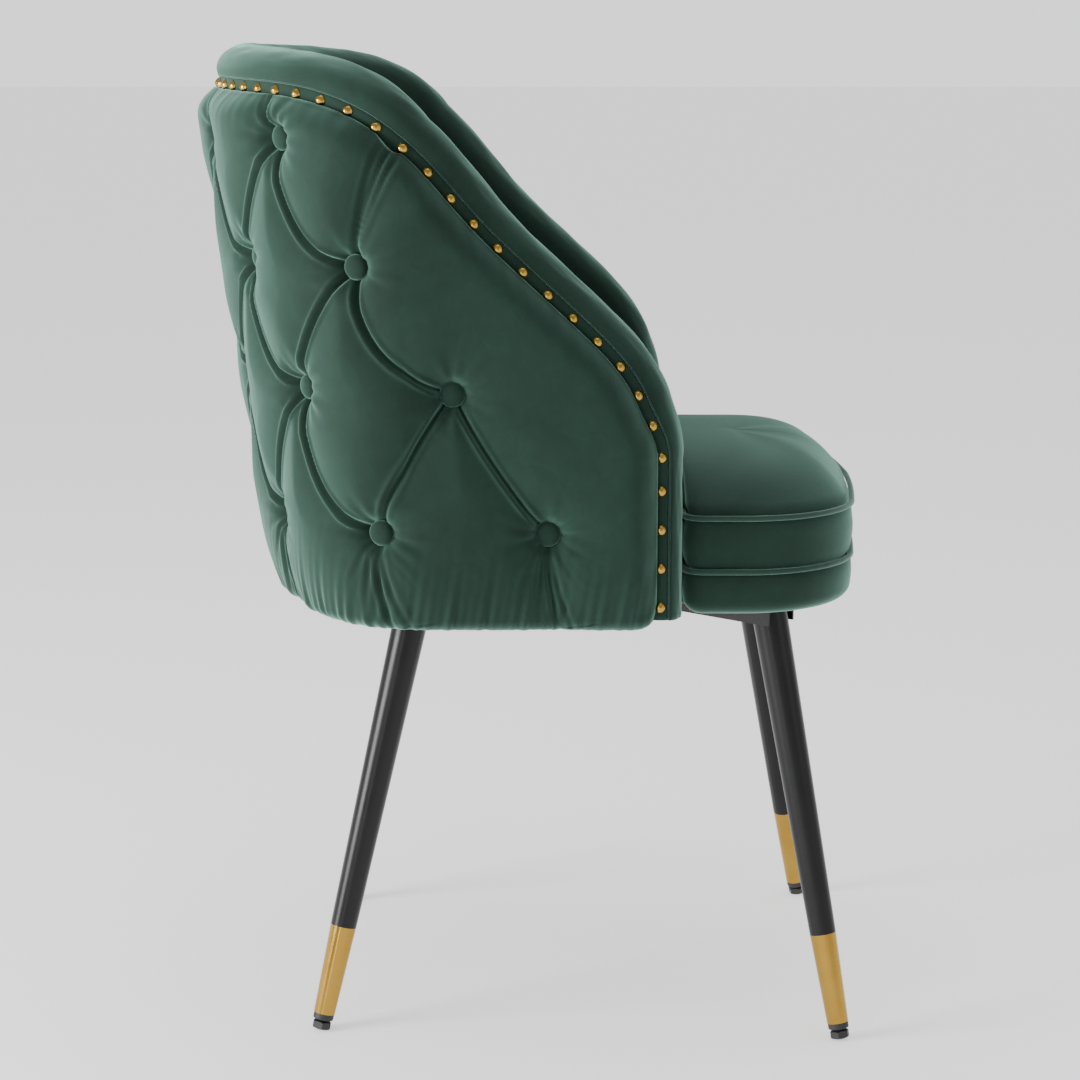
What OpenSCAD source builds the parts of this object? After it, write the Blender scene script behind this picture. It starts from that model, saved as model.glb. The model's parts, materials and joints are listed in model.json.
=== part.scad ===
// Upholstered dining chair: a barrel back with deep buttons and a nailhead rim,
// a T-shaped seat with two rows of piping, crossed steel rails and four splayed,
// tapered legs with metal ferrules and levelling feet.
// Millimetres. X across (sitter's left is +X), Y to the rear, Z up, floor at z = 0.

/* [Seat] */
// Height of the seat's underside above the floor
seat_z = 388; // [340:1:470]
// Height of the upholstered lower band
band_h = 38; // [28:1:55]
// Height of the cushion's upright side
cushion_side_h = 46; // [30:1:70]
// Rise of the cushion's crown above its upper piping
crown_h = 47; // [20:1:65]
// Front of the seat on the centre line
seat_front_y = -289; // [-350:1:-240]
// How far the seat's front bows out between its corners
front_bow = 14; // [2:1:24]
// Radius of the seat's front corners
corner_r = 100; // [40:1:120]
// How far the seat's sides stand in from the back's outside
ear_setback = 16; // [6:1:30]
// Radius of the cushion's rear ear corners
ear_r = 16; // [14:1:24]
// Radius of the cushion's rounded lower edge
edge_r = 13; // [6:1:13]
// Radius of the piping
piping_r = 2.6; // [2:0.1:4.5]
// Thickness of the seat board
board_t = 15; // [12:1:18]

/* [Back] */
// Half width of the back at its nail strip
back_half_w = 245; // [205:1:300]
// Nail line above the seat's underside, at the rear
back_h = 441; // [360:1:540]
// Height above the seat's underside where the front edge starts to sweep back
wing_h = 142; // [110:1:175]
// How far the back reaches below the seat's underside
back_drop = 8; // [2:1:14]
// Rear of the nail line on the centre line
back_rear_y = 277.5; // [240:0.5:340]
// Front nail line
wing_front_y = -110; // [-140:1:-80]
// Where the straight sides end and the plan starts to turn
curve_y = 103; // [60:1:140]
// Plan roundness: 2 is an ellipse, less is flatter between the corners
plan_power = 1.8; // [1.6:0.1:2.4]
// Rearward lean of the back, in mm for each mm of height
back_lean = 0.14; // [0.05:0.01:0.2]
// Greatest bulge of the outer pad
pad_bulge = 24.5; // [12:1:32]
// Thickness of the inner pad at the seat
inner_pad_t = 33; // [22:1:40]
// Extra thickness of the inner pad at its fullest
inner_swell = 6; // [2:1:14]
// Thickness of the plywood shell
ply_t = 12; // [9:1:15]
// Padding over the plywood at the nail strip
strip_t = 4; // [3:0.5:6]

/* [Rim] */
// Rise of the rim over the nail line at the rear
rim_rise = 31; // [26:1:38]
// Rise of the rim over the nail line at the front edge
rim_front = 19; // [17:1:26]
// Width of the rim from outside to inside
rim_w = 50; // [44:1:58]
// Distance from the nail line to the welt
welt_gap = 7; // [6:0.5:9]
// Radius of the welt
welt_r = 1.6; // [1:0.1:2.5]

/* [Trim] */
// Nailhead diameter
nail_d = 9.5; // [7:0.5:12]
// Nailhead height
nail_h = 4.2; // [3:0.1:5]
// Nail spacing over the top and the sweeps
nail_pitch = 28.5; // [22:0.5:36]
// Nail spacing on the upright front edges
nail_pitch_low = 33; // [26:0.5:40]
// Button diameter
button_d = 22; // [16:1:28]
// Thickness of a button
button_t = 9; // [6:0.5:12]
// Distance between buttons in a row, along the pad
button_pitch = 137; // [120:1:150]
// Depth of the button pockets below the pad's bulge
button_sink = 16; // [10:1:20]

/* [Legs] */
// Front foot, distance from the centre line
front_foot_x = 203.5; // [180:0.5:230]
// Front foot, along the depth
front_foot_y = -274.5; // [-300:0.5:-240]
// Front leg top, distance from the centre line
front_top_x = 142; // [120:1:160]
// Front leg top, along the depth
front_top_y = -208; // [-225:1:-180]
// Rear foot, distance from the centre line
rear_foot_x = 182; // [160:0.5:210]
// Rear foot, along the depth
rear_foot_y = 186.5; // [160:0.5:220]
// Rear leg top, distance from the centre line
rear_top_x = 121; // [105:1:135]
// Rear leg top, along the depth
rear_top_y = 100; // [80:1:120]
// Leg radius at the top
leg_top_r = 15.7; // [13:0.1:16.2]
// Leg radius at the ferrule's upper edge
leg_low_r = 11.6; // [10.5:0.1:13]
// Leg radius at the lower end
leg_end_r = 9.5; // [9:0.1:10.4]
// Wall of the leg tube
leg_wall = 1.5; // [1:0.1:1.6]
// Ferrule length
ferrule_l = 80; // [50:1:110]
// Ferrule wall
ferrule_t = 0.9; // [0.6:0.1:1]

/* [Feet] */
// Radius of the levelling stem's thread
stem_r = 4; // [3:0.5:4]
// Radial running clearance of the stem
stem_gap = 0.05; // [0.02:0.01:0.1]
// Height of the levelling pad
pad_h = 9.5; // [8:0.5:12]
// Radius of the levelling pad over its corners
pad_r = 8.8; // [8:0.1:10]
// Dome radius under the levelling pad
pad_dome_r = 18; // [16:1:24]
// Gap between the pad and the end plug when screwed home
home_gap = 0.4; // [0.3:0.1:1]
// Height of the end plug's flange
flange_h = 5.5; // [3:0.5:8]
// Length of the end plug inside the leg
plug_l = 24; // [18:1:30]
// Travel of a levelling foot
level_travel = 8; // [4:1:10]

/* [Rails] */
// Outside width of a rail
rail_w = 38; // [37:1:44]
// Height of a rail
rail_h = 24; // [20:1:30]
// Sheet thickness of a rail
rail_t = 2; // [1.5:0.1:2.5]
// How far a rail runs past the leg's axis
rail_over = 16; // [16:0.5:26]
// Thickness of the dust cover
cover_t = 1; // [0.5:0.1:1.5]
// How far the dust cover's edge stands in from the board's
cover_margin = 4; // [2:1:35]

/* [Fasteners] */
// Radius of the stud that holds a leg
stud_r = 4; // [3:0.5:5]
// Thickness of the angled plate that a leg screws up to
leg_plate_t = 4; // [3:0.5:6]
// Radius of a rail screw and of a back screw
screw_r = 2.5; // [2:0.25:3]
// Length of the thread of a rail screw above the rail
screw_l = 12; // [8:1:14]
// Length of a back screw
back_screw_l = 40; // [30:1:50]

/* [Hidden] */

// Heights
back_bottom_z = seat_z - back_drop;
back_z = seat_z + back_h;
wing_z = seat_z + wing_h;
cover_z = seat_z + 1;
board_z = cover_z + cover_t;
board_top_z = board_z + board_t;
band_top_z = seat_z + band_h;
cushion_top_z = band_top_z + cushion_side_h;
rail_z = cover_z - rail_h;

// Layers of the back, as offsets from the nail strip's surface; negative is inwards
ply_out = -strip_t;
ply_in = ply_out - ply_t;
ply_reach = 13;
soft_gap = 0.4;
pad_edge = 3;
inner_edge = 12;
rim_tail = 8;

// Seat plan; its piping clears the rim and the inner pad by piping_gap
piping_gap = 0.4;
seat_half_w = back_half_w - ear_setback;
corner_spare = 1;
neck_half_w = back_half_w - max(rim_w, inner_pad_t - ply_in + corner_spare) - piping_r - piping_gap;
ear_y = wing_front_y - rim_front - piping_r - piping_gap;
crown_y = ear_y - 10;

// Colours
VELVET = [0.13, 0.30, 0.24];
VELVET_LIGHT = [0.20, 0.40, 0.33];
PLYWOOD = [0.72, 0.58, 0.40];
BLACK_STEEL = [0.13, 0.13, 0.14];
GOLD = [0.75, 0.58, 0.28];
BLACK_PLASTIC = [0.06, 0.06, 0.06];
ZINC = [0.6, 0.6, 0.62];

// ---------- helpers ----------
function unit(v) = v / norm(v);
function flat(lists) = [for (l = lists) each l];
function reversed(l) = [for (i = [len(l) - 1 : -1 : 0]) l[i]];
function smooth(t) = let (s = min(max(t, 0), 1)) s * s * (3 - 2 * s);
function flip_x(p) = [-p[0], p[1], p[2]];

// A curve through its control points; the first and last only steer it
function spline(p, i, t) =
    p[i + 1] + t / 2 * ((p[i + 2] - p[i])
        + t * ((2 * p[i] - 5 * p[i + 1] + 4 * p[i + 2] - p[i + 3])
        + t * (3 * (p[i + 1] - p[i + 2]) + p[i + 3] - p[i])));

// Points of the arc that rounds the corner b between a and c
function corner_arc(a, b, c, r, n) =
    let (u = unit(a - b), v = unit(c - b), half = acos(u * v) / 2,
        centre = b + unit(u + v) * r / sin(half), start = b + u * r / tan(half) - centre,
        a0 = atan2(start[1], start[0]),
        sweep = (180 - 2 * half) * (u[0] * v[1] - u[1] * v[0] > 0 ? -1 : 1))
    [for (k = [0 : n]) centre + r * [cos(a0 + sweep * k / n), sin(a0 + sweep * k / n)]];

// A solid through rings of equal length; closed joins the last ring to the first, and
// strips closes each end with quads between a ring's two sides
module loft(rings, closed = false, strips = false) {
    n = len(rings);
    m = len(rings[0]);
    function at(i, j) = (i % n) * m + (j % m);
    function quad(a, b, c, d) = [[a, b, c], [a, c, d]];
    sides = [for (i = [0 : n - (closed ? 1 : 2)]) for (j = [0 : m - 1])
        each quad(at(i, j), at(i, j + 1), at(i + 1, j + 1), at(i + 1, j))];
    caps = closed ? [] : strips
        ? [for (j = [0 : m / 2 - 2]) each concat(
            quad(at(0, j), at(0, m - 1 - j), at(0, m - 2 - j), at(0, j + 1)),
            quad(at(n - 1, j), at(n - 1, j + 1), at(n - 1, m - 2 - j), at(n - 1, m - 1 - j)))]
        : [[for (j = [m - 1 : -1 : 0]) at(0, j)], [for (j = [0 : m - 1]) at(n - 1, j)]];
    polyhedron(flat(rings), concat(sides, caps), convexity = 6);
}

// ---------- surface of the back ----------
// A column q is [0, y] on a straight side or [1, angle] round the rear
function plan_s(angle) = pow(max(sin(angle), 0), 2 / plan_power);
function plan_c(angle) = pow(max(cos(angle), 0), 2 / plan_power);
function rear_reach(z) = back_rear_y - curve_y + back_lean * (z - back_z);
function shell_point(q, z, off) = q[0] == 0 ? [back_half_w + off, q[1], z]
    : [(back_half_w + off) * plan_s(q[1]), curve_y + (rear_reach(z) + off) * plan_c(q[1]), z];

// Side view of the nail line, as shares of its depth and of its height
SWEEP = [[0, -0.1], [0, 0], [0.03, 0.1], [0.11, 0.27], [0.37, 0.59], [0.56, 0.85], [0.74, 0.97],
    [1, 1], [1.27, 1]];
sweep_steps = 8;
function sweep_point(i, t) = let (p = spline(SWEEP, i, t))
    [wing_front_y + p[0] * (back_rear_y - wing_front_y), wing_z + p[1] * (back_z - wing_z)];
EDGE = [for (i = [0 : len(SWEEP) - 4]) for (k = [0 : sweep_steps - 1 + (i == len(SWEEP) - 4 ? 1 : 0)])
    sweep_point(i, k / sweep_steps)];
function edge_out(i) = let (d = unit(EDGE[min(i + 1, len(EDGE) - 1)] - EDGE[max(i - 1, 0)])) [-d[1], d[0]];
// The nail line moved by e in the side view: positive is up and forwards
function edge_table(e) = [for (i = [0 : len(EDGE) - 1]) EDGE[i] + e * edge_out(i)];
NAIL_TABLE = edge_table(0);

function nail_point(angle) =
    let (z0 = lookup(curve_y + rear_reach(back_z) * plan_c(angle), NAIL_TABLE))
    shell_point([1, angle], z0, 0);
function edge_slope(angle) =
    let (d = nail_point(max(angle - 2, 0)) - nail_point(min(angle + 2, 90)))
    sqrt(1 - pow(d[2] / norm(d), 2));

// Height of the edge over a column, with the edge moved by e
function edge_z(q, e, table) = q[0] == 0 ? lookup(q[1], table)
    : nail_point(q[1])[2] + e / edge_slope(q[1]);

side_steps = 14;
turn_steps = 13;
function columns(front_y) = concat(
    [for (k = [0 : side_steps - 1]) [0, front_y + (curve_y - front_y) * pow(k / side_steps, 1.5)]],
    [for (k = [0 : turn_steps]) [1, 90 * (1 - k / turn_steps)]]);
function both_sides(half) = concat(half, [for (i = [len(half) - 2 : -1 : 0]) [for (p = half[i]) flip_x(p)]]);

// Shares of a column's height, closer together at both ends
function row_share(j, n) = (1 - cos(180 * j / n)) / 2;
// One column of a layer, up its outside and down its inside; outs and ins give the offsets
function layer_ring(q, z0, z1, outs, ins) =
    let (n = len(outs) - 1)
    concat([for (j = [0 : n]) shell_point(q, z0 + (z1 - z0) * row_share(j, n), outs[j])],
        [for (j = [n : -1 : 0]) shell_point(q, z0 + (z1 - z0) * row_share(j, n), ins[j])]);

// ---------- path of the rim ----------
low_steps = 7;
rim_bottom_z = back_bottom_z + rim_tail;
RIM_LOW = [for (k = [0 : low_steps - 1])
    [back_half_w, wing_front_y, rim_bottom_z + (wing_z - rim_bottom_z) * k / low_steps]];
RIM_SIDE = [for (p = EDGE) if (p[0] < curve_y - 6) [back_half_w, p[0], p[1]]];
RIM_TURN = [for (k = [0 : turn_steps * 2]) nail_point(90 * (1 - k / turn_steps / 2))];
RIM_HALF = concat(RIM_LOW, RIM_SIDE, RIM_TURN);
RIM = concat(RIM_HALF, [for (i = [len(RIM_HALF) - 2 : -1 : 0]) flip_x(RIM_HALF[i])]);

// Direction across the back's layers at a point of the rim
function across(p) = p[1] <= curve_y ? [sign(p[0]), 0, 0]
    : let (c = (p[1] - curve_y) / rear_reach(p[2])) [p[0] / back_half_w, c, 0];
function true_normal(p) = p[1] <= curve_y ? [sign(p[0]), 0, 0]
    : let (c = (p[1] - curve_y) / rear_reach(p[2]),
        gx = sign(p[0]) * pow(abs(p[0]) / back_half_w, plan_power - 1) / back_half_w,
        gy = pow(c, plan_power - 1) / rear_reach(p[2]), g = unit([gx, gy]))
    unit([g[0], g[1], -g[1] * back_lean * c]);
function rim_along(i) = unit(RIM[min(i + 1, len(RIM) - 1)] - RIM[max(i - 1, 0)]);
function rim_up(i) = unit(cross(true_normal(RIM[i]), rim_along(i)));
function rim_at(i, e, off) = RIM[i] + e * rim_up(i) + off * across(RIM[i]);
// Rise of the crest: low on the upright front edges, full over the sweep and the rear
function crest_rise(i) = rim_front + (rim_rise - rim_front)
    * (0.6 * smooth((RIM[i][2] - wing_z + 10) / 60) + 0.4 * smooth((RIM[i][2] - wing_z - 130) / 120));

// Cross-section of the rim band round the plywood edge, from the outer strip over the crest
rim_arc_steps = 7;
function rim_section(rise) =
    let (top = rise, mid = -rim_w / 2, flank = rise * 0.35)
    concat([[-pad_edge + soft_gap, ply_out + soft_gap], [-pad_edge + soft_gap, 0], [welt_gap - welt_r, 0]],
        [for (k = [0 : rim_arc_steps]) let (a = 180 * k / rim_arc_steps)
            [flank + (top - flank) * sin(a), mid + rim_w / 2 * cos(a)]],
        [[-inner_edge + soft_gap, -rim_w], [-inner_edge + soft_gap, ply_in - soft_gap],
        [ply_reach + soft_gap, ply_in - soft_gap], [ply_reach + soft_gap, ply_out + soft_gap]]);

// Places along the rim, in mm from its lower right end
RIM_SUM = [for (i = 0, s = 0; i < len(RIM); i = i + 1, s = s + norm(RIM[min(i, len(RIM) - 1)] - RIM[i - 1])) s];
RIM_LOOK = [for (i = [0 : len(RIM) - 1]) [RIM_SUM[i], i]];
function rim_index(s) = lookup(s, RIM_LOOK);
function rim_mix(list, f) = let (i = min(floor(f), len(list) - 2)) list[i] + (f - i) * (list[i + 1] - list[i]);

// ---------- plan of the seat ----------
arc_steps = 9;
ear_steps = 4;
neck_fillet = 4;
neck_depth = rear_reach(band_top_z) + ply_in - inner_pad_t - piping_r - 2 * piping_gap;
// Right half of the plan, from the front's middle to the start of the neck's rounded end
function seat_right(inset) =
    let (w = seat_half_w - inset, nw = neck_half_w - inset, front = seat_front_y + inset,
        c = [[0, front], [w, front + front_bow], [w, ear_y - inset], [nw, ear_y - inset], [nw, curve_y]])
    concat([c[0]], corner_arc(c[0], c[1], c[2], corner_r - inset, arc_steps),
        corner_arc(c[1], c[2], c[3], ear_r - inset, ear_steps),
        corner_arc(c[2], c[3], c[4], neck_fillet + inset, ear_steps));
// A rounded end that follows the back's plan
function plan_end(half_w, depth) = [for (k = [0 : 2 * arc_steps]) let (a = 90 - 90 * k / arc_steps)
    [sign(a) * half_w * plan_s(abs(a)), curve_y + depth * plan_c(a)]];
function seat_plan(inset) = let (right = seat_right(inset))
    concat(right, plan_end(neck_half_w - inset, neck_depth - inset),
        [for (i = [len(right) - 1 : -1 : 1]) [-right[i][0], right[i][1]]]);
function seat_ring(inset, z, scale_by = 1) = [for (p = reversed(seat_plan(inset)))
    [p[0] * scale_by, crown_y + (p[1] - crown_y) * scale_by, z]];

// Plan of the board: narrow between the rim's ends, full inside the shell
board_inset = 12;
board_front_w = seat_half_w - board_inset;
board_neck_w = neck_half_w - 1;
board_gap = 0.6;
board_rear_w = back_half_w + ply_in - board_gap;
board_neck_y = wing_front_y + inner_edge + 2;
function board_corners(inset) =
    let (w = board_front_w - inset, nw = board_neck_w - inset, front = seat_front_y + board_inset + inset)
    [[0, front], [w, front + front_bow], [w, ear_y - 4 - inset], [nw, ear_y - 4 - inset],
    [nw, board_neck_y + inset], [board_rear_w - inset, board_neck_y + inset]];
function board_plan(inset) =
    let (c = board_corners(inset), left = [for (i = [5 : -1 : 1]) [-c[i][0], c[i][1]]],
        front_r = corner_r - board_inset - inset,
        right_arc = corner_arc(c[0], c[1], c[2], front_r, arc_steps),
        left_arc = corner_arc(left[3], left[4], c[0], front_r, arc_steps))
    concat([c[0]], right_arc, [for (i = [2 : 5]) c[i]],
        plan_end(board_rear_w - inset, rear_reach(board_z) + ply_in - board_gap - inset),
        [for (i = [0 : 3]) left[i]], left_arc);

// ---------- legs ----------
// Each leg is [foot x, foot y, top x, top y]; tops lie under the rail's roof
FRONT_LEG = [front_foot_x, front_foot_y, front_top_x, front_top_y];
REAR_LEG = [rear_foot_x, rear_foot_y, rear_top_x, rear_top_y];
leg_top_z = cover_z - rail_t;
function mirror_leg(l) = [-l[0], l[1], -l[2], l[3]];
function leg_dir(l) = unit([l[2] - l[0], l[3] - l[1], leg_top_z]);
// Distance from the floor point along the leg to the underside of the pad's dome
function pole(l) = pad_dome_r / leg_dir(l)[2] - pad_dome_r;
module on_leg(l) {
    d = leg_dir(l);
    translate([l[0], l[1], 0]) rotate([0, acos(d[2]), atan2(d[1], d[0])]) children();
}
function plug_z(l) = pole(l) + pad_h + home_gap;
function ferrule_z(l) = plug_z(l) + flange_h;
function ferrule_top(l) = ferrule_z(l) + ferrule_l;
function spigot_r(share) = leg_end_r - ferrule_t + share * (leg_low_r - leg_end_r);
function bore_r(share) = spigot_r(share) - leg_wall;

// ---------- seat ----------
module seat_board() color(PLYWOOD) difference() {
    translate([0, 0, board_z]) linear_extrude(board_t) polygon(board_plan(0));
    rail_screw_places() translate([0, 0, cover_z]) cylinder(r = screw_r, h = cover_t + screw_l, $fn = 32);
    back_screw_places() cylinder(r = screw_r, h = back_screw_l, $fn = 32);
}

module dust_cover() color(BLACK_PLASTIC) difference() {
    translate([0, 0, cover_z]) linear_extrude(cover_t) polygon(board_plan(cover_margin));
    rail_screw_places() translate([0, 0, cover_z - 1]) cylinder(r = screw_r, h = 9, $fn = 32);
}

band_steps = 4;
module seat_band() color(VELVET) difference() {
    loft(concat([for (k = [0 : band_steps]) let (a = 90 * k / band_steps)
        seat_ring(edge_r * (1 - sin(a)), seat_z + edge_r * (1 - cos(a)))],
        [seat_ring(0, band_top_z)]));
    translate([0, 0, seat_z - 1]) linear_extrude(board_top_z - seat_z + 1) polygon(board_plan(-0.3));
}

crown_steps = 7;
module seat_cushion() color(VELVET) loft(concat([seat_ring(piping_r, band_top_z + soft_gap),
    seat_ring(0, band_top_z + piping_r * 2), seat_ring(0, cushion_top_z - piping_r * 2)],
    [for (k = [0 : crown_steps]) let (t = 1 - k / crown_steps * 0.97)
        seat_ring(piping_r, cushion_top_z + crown_h * (1 - pow(t, 2.6)), t)]));

piping_sides = 6;
module piping(z) {
    middle = seat_plan(0);
    outer = seat_plan(-1);
    loft([for (i = [0 : len(middle) - 1]) let (n = unit(outer[i] - middle[i]))
        [for (j = [0 : piping_sides - 1]) let (a = 360 * j / piping_sides)
            [middle[i][0] + n[0] * piping_r * cos(a), middle[i][1] + n[1] * piping_r * cos(a),
            z + piping_r * sin(a)]]], closed = true);
}
module piping_upper() color(VELVET_LIGHT) piping(cushion_top_z);
module piping_lower() color(VELVET_LIGHT) piping(band_top_z);

// ---------- back ----------
shell_rows = 11;
module back_shell() color(PLYWOOD) {
    table = edge_table(ply_reach);
    rows = [for (j = [0 : shell_rows]) 1];
    loft(both_sides([for (q = columns(wing_front_y - ply_reach))
        layer_ring(q, rim_bottom_z + 1, edge_z(q, ply_reach, table), ply_out * rows, ply_in * rows)]), strips = true);
}

pad_rows = 13;
pad_roll_in = 50;
// Bulge of the outer pad: round under at the bottom and rolled in at the nail line
function pad_off(v, reach) = let (top = 1 - pow(v, 20), low = 1 - pow(1 - min(v / 0.2, 1), 2.4),
    side = 1 - pow(1 - min(reach, 1), 2.6))
    1 + (pad_bulge - 1) * top * (0.45 + 0.55 * low) * side;
module outer_back_pad() color(VELVET) {
    table = edge_table(-pad_edge);
    front = wing_front_y + pad_edge;
    loft(both_sides([for (q = columns(front))
        let (reach = q[0] == 0 ? (q[1] - front) / pad_roll_in : 1)
        layer_ring(q, back_bottom_z, edge_z(q, -pad_edge, table),
            [for (j = [0 : pad_rows]) pad_off(row_share(j, pad_rows), reach)],
            [for (j = [0 : pad_rows]) ply_out + soft_gap])]), strips = true);
}

inner_rows = 9;
swell_rise = 90;
module inner_back_pad() color(VELVET) {
    table = edge_table(-inner_edge);
    front = wing_front_y + inner_edge;
    loft(both_sides([for (q = columns(front))
        layer_ring(q, board_top_z + soft_gap, edge_z(q, -inner_edge, table),
            [for (j = [0 : inner_rows]) ply_in - soft_gap],
            [for (j = [0 : inner_rows])
                let (z = board_top_z + (edge_z(q, -inner_edge, table) - board_top_z) * row_share(j, inner_rows))
                ply_in - inner_pad_t - inner_swell * smooth((z - cushion_top_z - piping_r) / swell_rise)
                * (q[0] == 0 ? smooth((q[1] - front) / swell_rise) : 1) * (1 - pow(j / inner_rows, 6))])]),
        strips = true);
}

module rim_band() color(VELVET) loft([for (i = [0 : len(RIM) - 1])
    [for (p = rim_section(crest_rise(i))) rim_at(i, p[0], p[1])]]);

welt_sides = 6;
module rim_welt() color(VELVET_LIGHT) loft([for (i = [0 : len(RIM) - 1])
    [for (j = [0 : welt_sides - 1]) let (a = 360 * j / welt_sides)
        rim_at(i, welt_gap + welt_r * sin(a), welt_r * cos(a) + welt_r * 0.9)]]);

// Turns +Z onto the direction v
module facing(v) rotate([0, acos(unit(v)[2]), atan2(v[1], v[0])]) children();

nail_low_z = 11;
nail_low_count = floor((wing_z - rim_bottom_z - nail_low_z) / nail_pitch_low) + 1;
rim_half_length = RIM_SUM[len(RIM_HALF) - 1];
nail_sweep_start = nail_low_z + (nail_low_count - 1) * nail_pitch_low;
nail_sweep_count = round((rim_half_length - nail_sweep_start) / nail_pitch);
nail_sweep_pitch = (rim_half_length - nail_sweep_start) / nail_sweep_count;
NAIL_S = concat([for (k = [0 : nail_low_count - 1]) nail_low_z + k * nail_pitch_low],
    [for (k = [1 : nail_sweep_count]) nail_sweep_start + k * nail_sweep_pitch]);
nail_ball_r = (pow(nail_d / 2, 2) + pow(nail_h, 2)) / (2 * nail_h);
module nail() {
    intersection() {
        translate([0, 0, nail_h - nail_ball_r]) sphere(r = nail_ball_r, $fn = 40);
        cylinder(r = nail_d, h = nail_h * 2, $fn = 40);
    }
    translate([0, 0, -9]) cylinder(r = 0.9, h = 9.5, $fn = 24);
}
module nail_at(s) {
    p = rim_mix(RIM, rim_index(s));
    translate(p + 0.2 * true_normal(p)) facing(true_normal(p)) nail();
}
module nailheads() color(GOLD) for (s = NAIL_S) {
    nail_at(s);
    if (s < rim_half_length - 1) mirror([1, 0, 0]) nail_at(s);
}

// Rows of buttons: height above the seat's underside and how many pitches reach each side
BUTTON_ROWS = [[75, [0, 1, 2, 3]], [192, [0.5, 1.5, 2.5]], [296, [0, 1, 2]], [400, [0.5, 1.5]]];
turn_table_steps = 45;
function turn_length(z, n) = n == 0 ? 0 : turn_length(z, n - 1)
    + norm(shell_point([1, 90 * n / turn_table_steps], z, 0)
    - shell_point([1, 90 * (n - 1) / turn_table_steps], z, 0));
// The column at a distance s along the back from its rear centre line
function column_at(s, z) = let (quarter = turn_length(z, turn_table_steps))
    s >= quarter ? [0, curve_y - (s - quarter)]
    : [1, lookup(s, [for (n = [0 : turn_table_steps]) [turn_length(z, n), 90 * n / turn_table_steps]])];
module button() {
    rise = button_t * 0.45;
    ball = (pow(button_d / 2, 2) + pow(rise, 2)) / (2 * rise);
    intersection() {
        translate([0, 0, rise - ball]) sphere(r = ball, $fn = 60);
        cylinder(r = button_d, h = button_t, $fn = 48);
    }
    translate([0, 0, rise - button_t]) cylinder(r = button_d / 2 - 1, h = button_t - rise + 0.01, $fn = 48);
}
module button_at(row, k) {
    z = seat_z + row;
    p = shell_point(column_at(k * button_pitch, z), z, pad_bulge - button_sink);
    translate(p) facing(true_normal(shell_point(column_at(k * button_pitch, z), z, 0))) button();
}
module tuft_buttons() color(VELVET) for (row = BUTTON_ROWS) for (k = row[1]) {
    button_at(row[0], k);
    if (k > 0) mirror([1, 0, 0]) button_at(row[0], k);
}

// ---------- fasteners of the back ----------
// Each place has its +Z pointing into the board from the shell's outside
back_screw_z = board_z + board_t / 2;
side_screw_y = [-60, 20, 90];
rear_screw_x = 60;
module back_screw_places() {
    for (side = [0, 1]) mirror([side, 0, 0]) {
        for (y = side_screw_y) translate([back_half_w + ply_out, y, back_screw_z]) rotate([0, -90, 0])
            children();
        translate([rear_screw_x, curve_y + rear_reach(back_screw_z) + ply_out - 6, back_screw_z])
            rotate([90, 0, 0]) children();
    }
}
module back_screws() color(ZINC) back_screw_places() {
    cylinder(r = screw_r, h = back_screw_l, $fn = 32);
    cylinder(r1 = screw_r * 2, r2 = screw_r, h = screw_r, $fn = 32);
}

// ---------- rails ----------
// A rail runs from one leg's top to another's, as an open channel with its roof up
module rail(from, to, over_end) {
    d = unit(to - from);
    translate([from[0], from[1], 0]) rotate([0, 0, atan2(d[1], d[0])]) difference() {
        translate([-rail_over, -rail_w / 2, rail_z]) cube([norm(to - from) + rail_over + over_end, rail_w, rail_h]);
        translate([-rail_over - 1, -rail_w / 2 + rail_t, rail_z - 1])
            cube([norm(to - from) + rail_over + over_end + 2, rail_w - 2 * rail_t, rail_h - rail_t + 1]);
    }
}
FRONT_TOP = [front_top_x, front_top_y];
REAR_TOP = [rear_top_x, rear_top_y];
function left_of(p) = [-p[0], p[1]];
cross_share = front_top_x / (front_top_x + rear_top_x);
CROSS = [0, front_top_y + cross_share * (rear_top_y - front_top_y)];
module rail_screw_places() for (side = [0, 1]) mirror([side, 0, 0])
    for (p = [FRONT_TOP, REAR_TOP]) for (share = [0.3, 0.62])
        translate([p[0] * share, CROSS[1] + (p[1] - CROSS[1]) * share, 0]) children();
module rail_holes() {
    rail_screw_places() translate([0, 0, cover_z - rail_h]) cylinder(r = screw_r + 0.3, h = rail_h + 1, $fn = 32);
}
module rail_long() color(BLACK_STEEL) difference() {
    rail(FRONT_TOP, left_of(REAR_TOP), rail_over);
    rail_holes();
}
rail_gap = 0.1;
module rail_block() {
    d = unit(left_of(REAR_TOP) - FRONT_TOP);
    translate([CROSS[0], CROSS[1], rail_z - 1]) rotate([0, 0, atan2(d[1], d[0])])
        translate([-rail_w * 2, -rail_w / 2 - rail_gap, 0]) cube([rail_w * 4, rail_w + 2 * rail_gap, rail_h + 2]);
}
module rail_half(top) difference() {
    rail(top, CROSS, 0);
    rail_block();
    rail_holes();
}
module rail_half_left() color(BLACK_STEEL) rail_half(REAR_TOP);
module rail_half_right() color(BLACK_STEEL) rail_half(left_of(FRONT_TOP));

screw_head_h = 3;
module rail_screws() color(ZINC) rail_screw_places() {
    translate([0, 0, leg_top_z]) cylinder(r = screw_r, h = rail_t + cover_t + screw_l, $fn = 32);
    translate([0, 0, leg_top_z - screw_head_h]) cylinder(r = screw_r * 2, h = screw_head_h, $fn = 32);
}

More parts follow.
